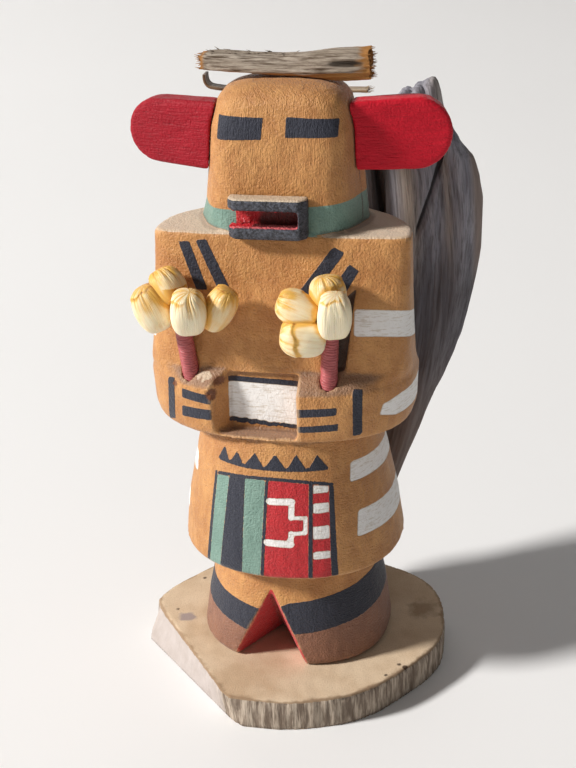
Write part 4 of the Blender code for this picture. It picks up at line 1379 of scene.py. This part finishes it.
def makeDriftwood():
    mesh = remeshed(copyOfNode("driftwood_back"), "driftwoodSkin", driftSizes["voxel"])
    smoothMesh(mesh, driftSizes["smooth"])
    co = places(mesh)
    x, y, z = co.T
    # the grain follows the wood's bend: streaks lean with its right edge
    bent = x - (14.0 * np.sin((z - 20) / 190 * pi) + 0.08 * (z - 110))
    grained = np.stack([bent, y, z], axis=1)
    calm = np.clip((200 - z) / 14, 0.25, 1)
    amount = driftSizes["lobe"] * noiseAt(grained, (6.5, 7.0, 75), 5.0) * calm
    amount += driftSizes["groove"] * noiseAt(grained, (1.7, 2.4, 34), 2.5) * calm
    amount += 0.5 * noiseAt(co, (9, 9, 14), 7.0)

    def lineOf(name, width, lean=0.0):
        return np.exp(-((bent - driftSizes[name] - lean * (z - 165)) / width) ** 2)

    split = lineOf("split", 0.9, 0.36) * between(z, 150, 188).clip(0, 6) / 6
    split += 1.2 * lineOf("longSplit", 1.0) * np.clip((z - 120) / 20, 0, 1) * (z < 180)
    amount -= driftSizes["splitDepth"] * split
    across, up = driftSizes["knob"]
    amount += driftSizes["knobRise"] * np.exp(-((x - across) / 5.5) ** 2 - ((z - up) / 6) ** 2)
    pushOut(mesh, amount)
    keepInside(mesh)
    # hollows and splits, for painted shade
    setNumbers(mesh, "ridge", ridgeOf(mesh, 5) * 0.5 - 0.5 * split)
    rightEdge = np.clip((bent - driftSizes["rightEdge"]) / 3, 0, 1)
    lower = np.clip((125 - z) / 60, 0, 1)
    setNumbers(mesh, "brown", np.clip(0.9 * rightEdge + 0.8 * lower, 0, 1))
    leftDark = np.clip((driftSizes["darkTo"] - bent) / 2.5, 0, 1)
    setNumbers(mesh, "shade", leftDark * np.clip((z - 100) / 40, 0, 1))
    tan = lineOf("tanBand", 3.4) * (z < 190) + 0.6 * lineOf("thinTanBand", 1.6)
    setNumbers(mesh, "tan", tan * np.clip((z - 130) / 25, 0, 1))
    setNumbers(mesh, "lower", np.clip((152 - z) / 22, 0, 1))
    setVectors(mesh, "grained", grained)
    piece = addPiece("weathered_driftwood", mesh, driftwoodMaterial())
    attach(piece, "root")
    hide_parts("driftwood_back")


slabSizes = {
    "voxel": 0.85,
    "smooth": 4,
    "top": 12.0,
    "rimRounds": 14,  # how far the rim's darker wood reaches in
    "middle": (-2.0, -3.0),
    "facet": (178, 212, 250),  # degrees round the middle where it begins, is widest and ends
    # across, along Y and radius
    "knot": (-41.6, -8.6, 3.4),
    "pitted": (46.0, 9.0, 11.0),
    # across, along Y and radius of each dark spot
    "spots": [
        (-46.6, -4.2, 0.7),
        (-41.3, 17.9, 0.8),
        (43.3, -27.2, 1.1),
        (37.0, -32.7, 0.7),
        (41.0, -26.0, 0.8),
    ],
}


def carveSlab():
    mesh = remeshed(copyOfNode("base_slab"), "slabSkin", slabSizes["voxel"])
    smoothMesh(mesh, slabSizes["smooth"])
    co, normal = places(mesh), normalsOf(mesh)
    x, y, z = co.T
    middle, (begin, widest, end) = slabSizes["middle"], slabSizes["facet"]
    angle = np.degrees(np.arctan2(y - middle[1], x - middle[0])) % 360
    facet = np.clip(1 - np.abs(angle - widest) / 42, 0, 1) ** 0.3 * (angle > begin) * (angle < end)
    onSide = np.clip((0.72 - np.abs(normal[:, 2])) * 4, 0, 1)
    around = np.radians(angle) * 50
    lines = np.stack([around, 0 * around, z + 0.5 * around], axis=1)
    groove = noiseAt(lines, (1.4, 1.0, 14), 2.0) + 0.5 * noiseAt(lines, (3.4, 1.0, 22), 6.0)
    amount = onSide * (1 - 0.8 * facet) * (0.42 * groove - 0.25)
    amount += 0.11 * noiseAt(co, (3.2, 3.2, 3.2), 1.0)
    worn = 0.7 * noiseAt(lines, (2.4, 1, 3), 4.0) + 0.6 * noiseAt(lines, (7, 1, 9), 1.5) - 0.4
    amount += np.exp(-((z - slabSizes["top"]) / 1.6) ** 2) * onSide * worn
    pushOut(mesh, amount * (z >= 0.5))
    # the underside stays flat
    flatter = places(mesh)
    flatter[:, 2] = np.where(flatter[:, 2] < 0.45, 0.0, flatter[:, 2])
    setPlaces(mesh, flatter)
    keepInside(mesh)
    rim, edges = onSide, edgesOf(mesh)
    for _ in range(slabSizes["rimRounds"]):
        rim = averaged(rim, edges)
    spots = [size - np.hypot(x - sx, y - sy) for sx, sy, size in slabSizes["spots"]]
    kx, ky, size = slabSizes["knot"]
    knot = size - np.hypot((x - kx) * 0.8, y - ky) + 1.2 * noiseAt(co, (2, 2, 2), 3.0)
    px, py, size = slabSizes["pitted"]
    numbers = {
        "ridge": ridgeOf(mesh, 4),
        "onSide": onSide,
        "rim": rim,
        "facet": facet,
        "spots": np.maximum(-far, np.maximum.reduce(spots)),
        "knot": knot,
        "pitted": np.clip(1 - np.hypot(x - px, (y - py) * 0.7) / size, 0, 1),
    }
    for name, values in numbers.items():
        setNumbers(mesh, name, values)
    setVectors(mesh, "around", lines)
    return mesh


def slabMaterial():
    material, tree, shader = newMaterial("root wood")
    place, way = objectPlace(tree), storedPlace(tree, "around")
    fineTop = grain(tree, place, (0.5, 0.5, 2.0), 3.0, 0.65)
    broad = grain(tree, place, (22, 22, 22), 3.0)
    blotch = grain(tree, place, (5, 5, 5), 3.0)
    wide = grain(tree, way, (2.6, 1.0, 16), 4.0, 0.62, unit=1.0)
    thin = grain(tree, way, (0.7, 1.0, 9), 4.0, 0.62, unit=1.0)
    spots, onSide = number(tree, "spots"), number(tree, "onSide")
    pitted = total(tree, (number(tree, "pitted"), 1.0), (blotch, 1.0))
    rim = total(tree, (number(tree, "rim"), 1.0), (blotch, 0.55))
    top = shades(tree, ranged(tree, broad, 0.35, 0.65), (200, 173, 142), (220, 197, 168))
    top = layered(tree, top, [
        (ranged(tree, fineTop, 0.34, 0.52, 0.35, 0.0), (166, 136, 106)),
        (ranged(tree, pitted, 0.85, 1.35, 0.0, 0.6), (128, 98, 68)),
        (ranged(tree, rim, 0.42, 0.66, 0.0, 0.75), (134, 106, 80)),
        (ranged(tree, number(tree, "knot"), 0.0, 1.6, 0.0, 0.8), (150, 136, 138)),
        (ranged(tree, spots, -0.3, 0.3, 0.0, 0.9), (70, 52, 40)),
    ])
    pale = shades(tree, blotch, (170, 158, 150), (200, 190, 186))
    side = shades(tree, ranged(tree, wide, 0.38, 0.62), (128, 112, 98), (196, 180, 162))
    side = layered(tree, side, [
        (ranged(tree, thin, 0.36, 0.54, 0.65, 0.0), (98, 82, 68)),
        # painted shade in the side's grooves
        (ranged(tree, number(tree, "ridge"), -0.3, -0.05, 0.6, 0.0), (60, 48, 40)),
        (ranged(tree, spots, -0.3, 0.5, 0.0, 0.9), (48, 36, 28)),
        (ranged(tree, number(tree, "facet"), 0.2, 0.8), pale),
    ])
    edge = total(tree, (onSide, 1.0), (thin, 0.5))
    link(tree, blendOf(tree, ranged(tree, edge, 0.62, 0.86), top, side), shader, "Base Color")
    shader.inputs["Roughness"].default_value = 0.8
    shader.inputs["Specular IOR Level"].default_value = 0.25
    bumped(tree, shader, total(tree, (times(tree, thin, onSide), 1.0), (fineTop, 0.5)), 0.4, 0.8)
    return material


def makeSlab():
    piece = addPiece("root_slab", carveSlab(), slabMaterial())
    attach(piece, "root")
    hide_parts("base_slab")


stripSizes = {
    "voxel": 0.26,
    "smooth": 2,
    "frayedFrom": 22.0,
    "fibres": (1.6e6, 2.4, 0.13),
}


def makeHuskStrip(tree):
    mesh = remeshed(copyOfNode("husk_strip"), "stripSkin", stripSizes["voxel"])
    smoothMesh(mesh, stripSizes["smooth"])
    co = places(mesh)
    x, y, z = co.T
    pushOut(mesh, 0.12 * noiseAt(co, (6, 0.8, 6), 2.0))
    setNumbers(mesh, "fold", np.clip(0.5 + 0.5 * noiseAt(co, (8, 2, 4), 3.0), 0, 1))
    setVectors(mesh, "fibre", np.stack([y * 1.6, x, z * 0.2], axis=1))
    # darker towards the strip's left end
    setNumbers(mesh, "shadeAndDarkEnd", np.clip((-16 - x) / 6, 0, 1))
    setNumbers(mesh, "frayed", 0.8 * np.clip((x - stripSizes["frayedFrom"]) / 1.5, 0, 1))
    setVectors(mesh, "way", np.tile((1.0, -0.15, 0.25), (len(co), 1)))
    material = huskMaterial("dry husk strip", (200, 184, 158), (150, 124, 96), (70, 52, 42))
    piece = addPiece("dry_husk_strip", mesh, material)
    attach(piece, "root")
    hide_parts("husk_strip")
    addFibres("strip_fibres", mesh, tree, material, *stripSizes["fibres"])


fibres = fibreTree()
makeSplint(fibres)
makeDriftwood()
makeSlab()
makeHuskStrip(fibres)
print("weathered wood done")
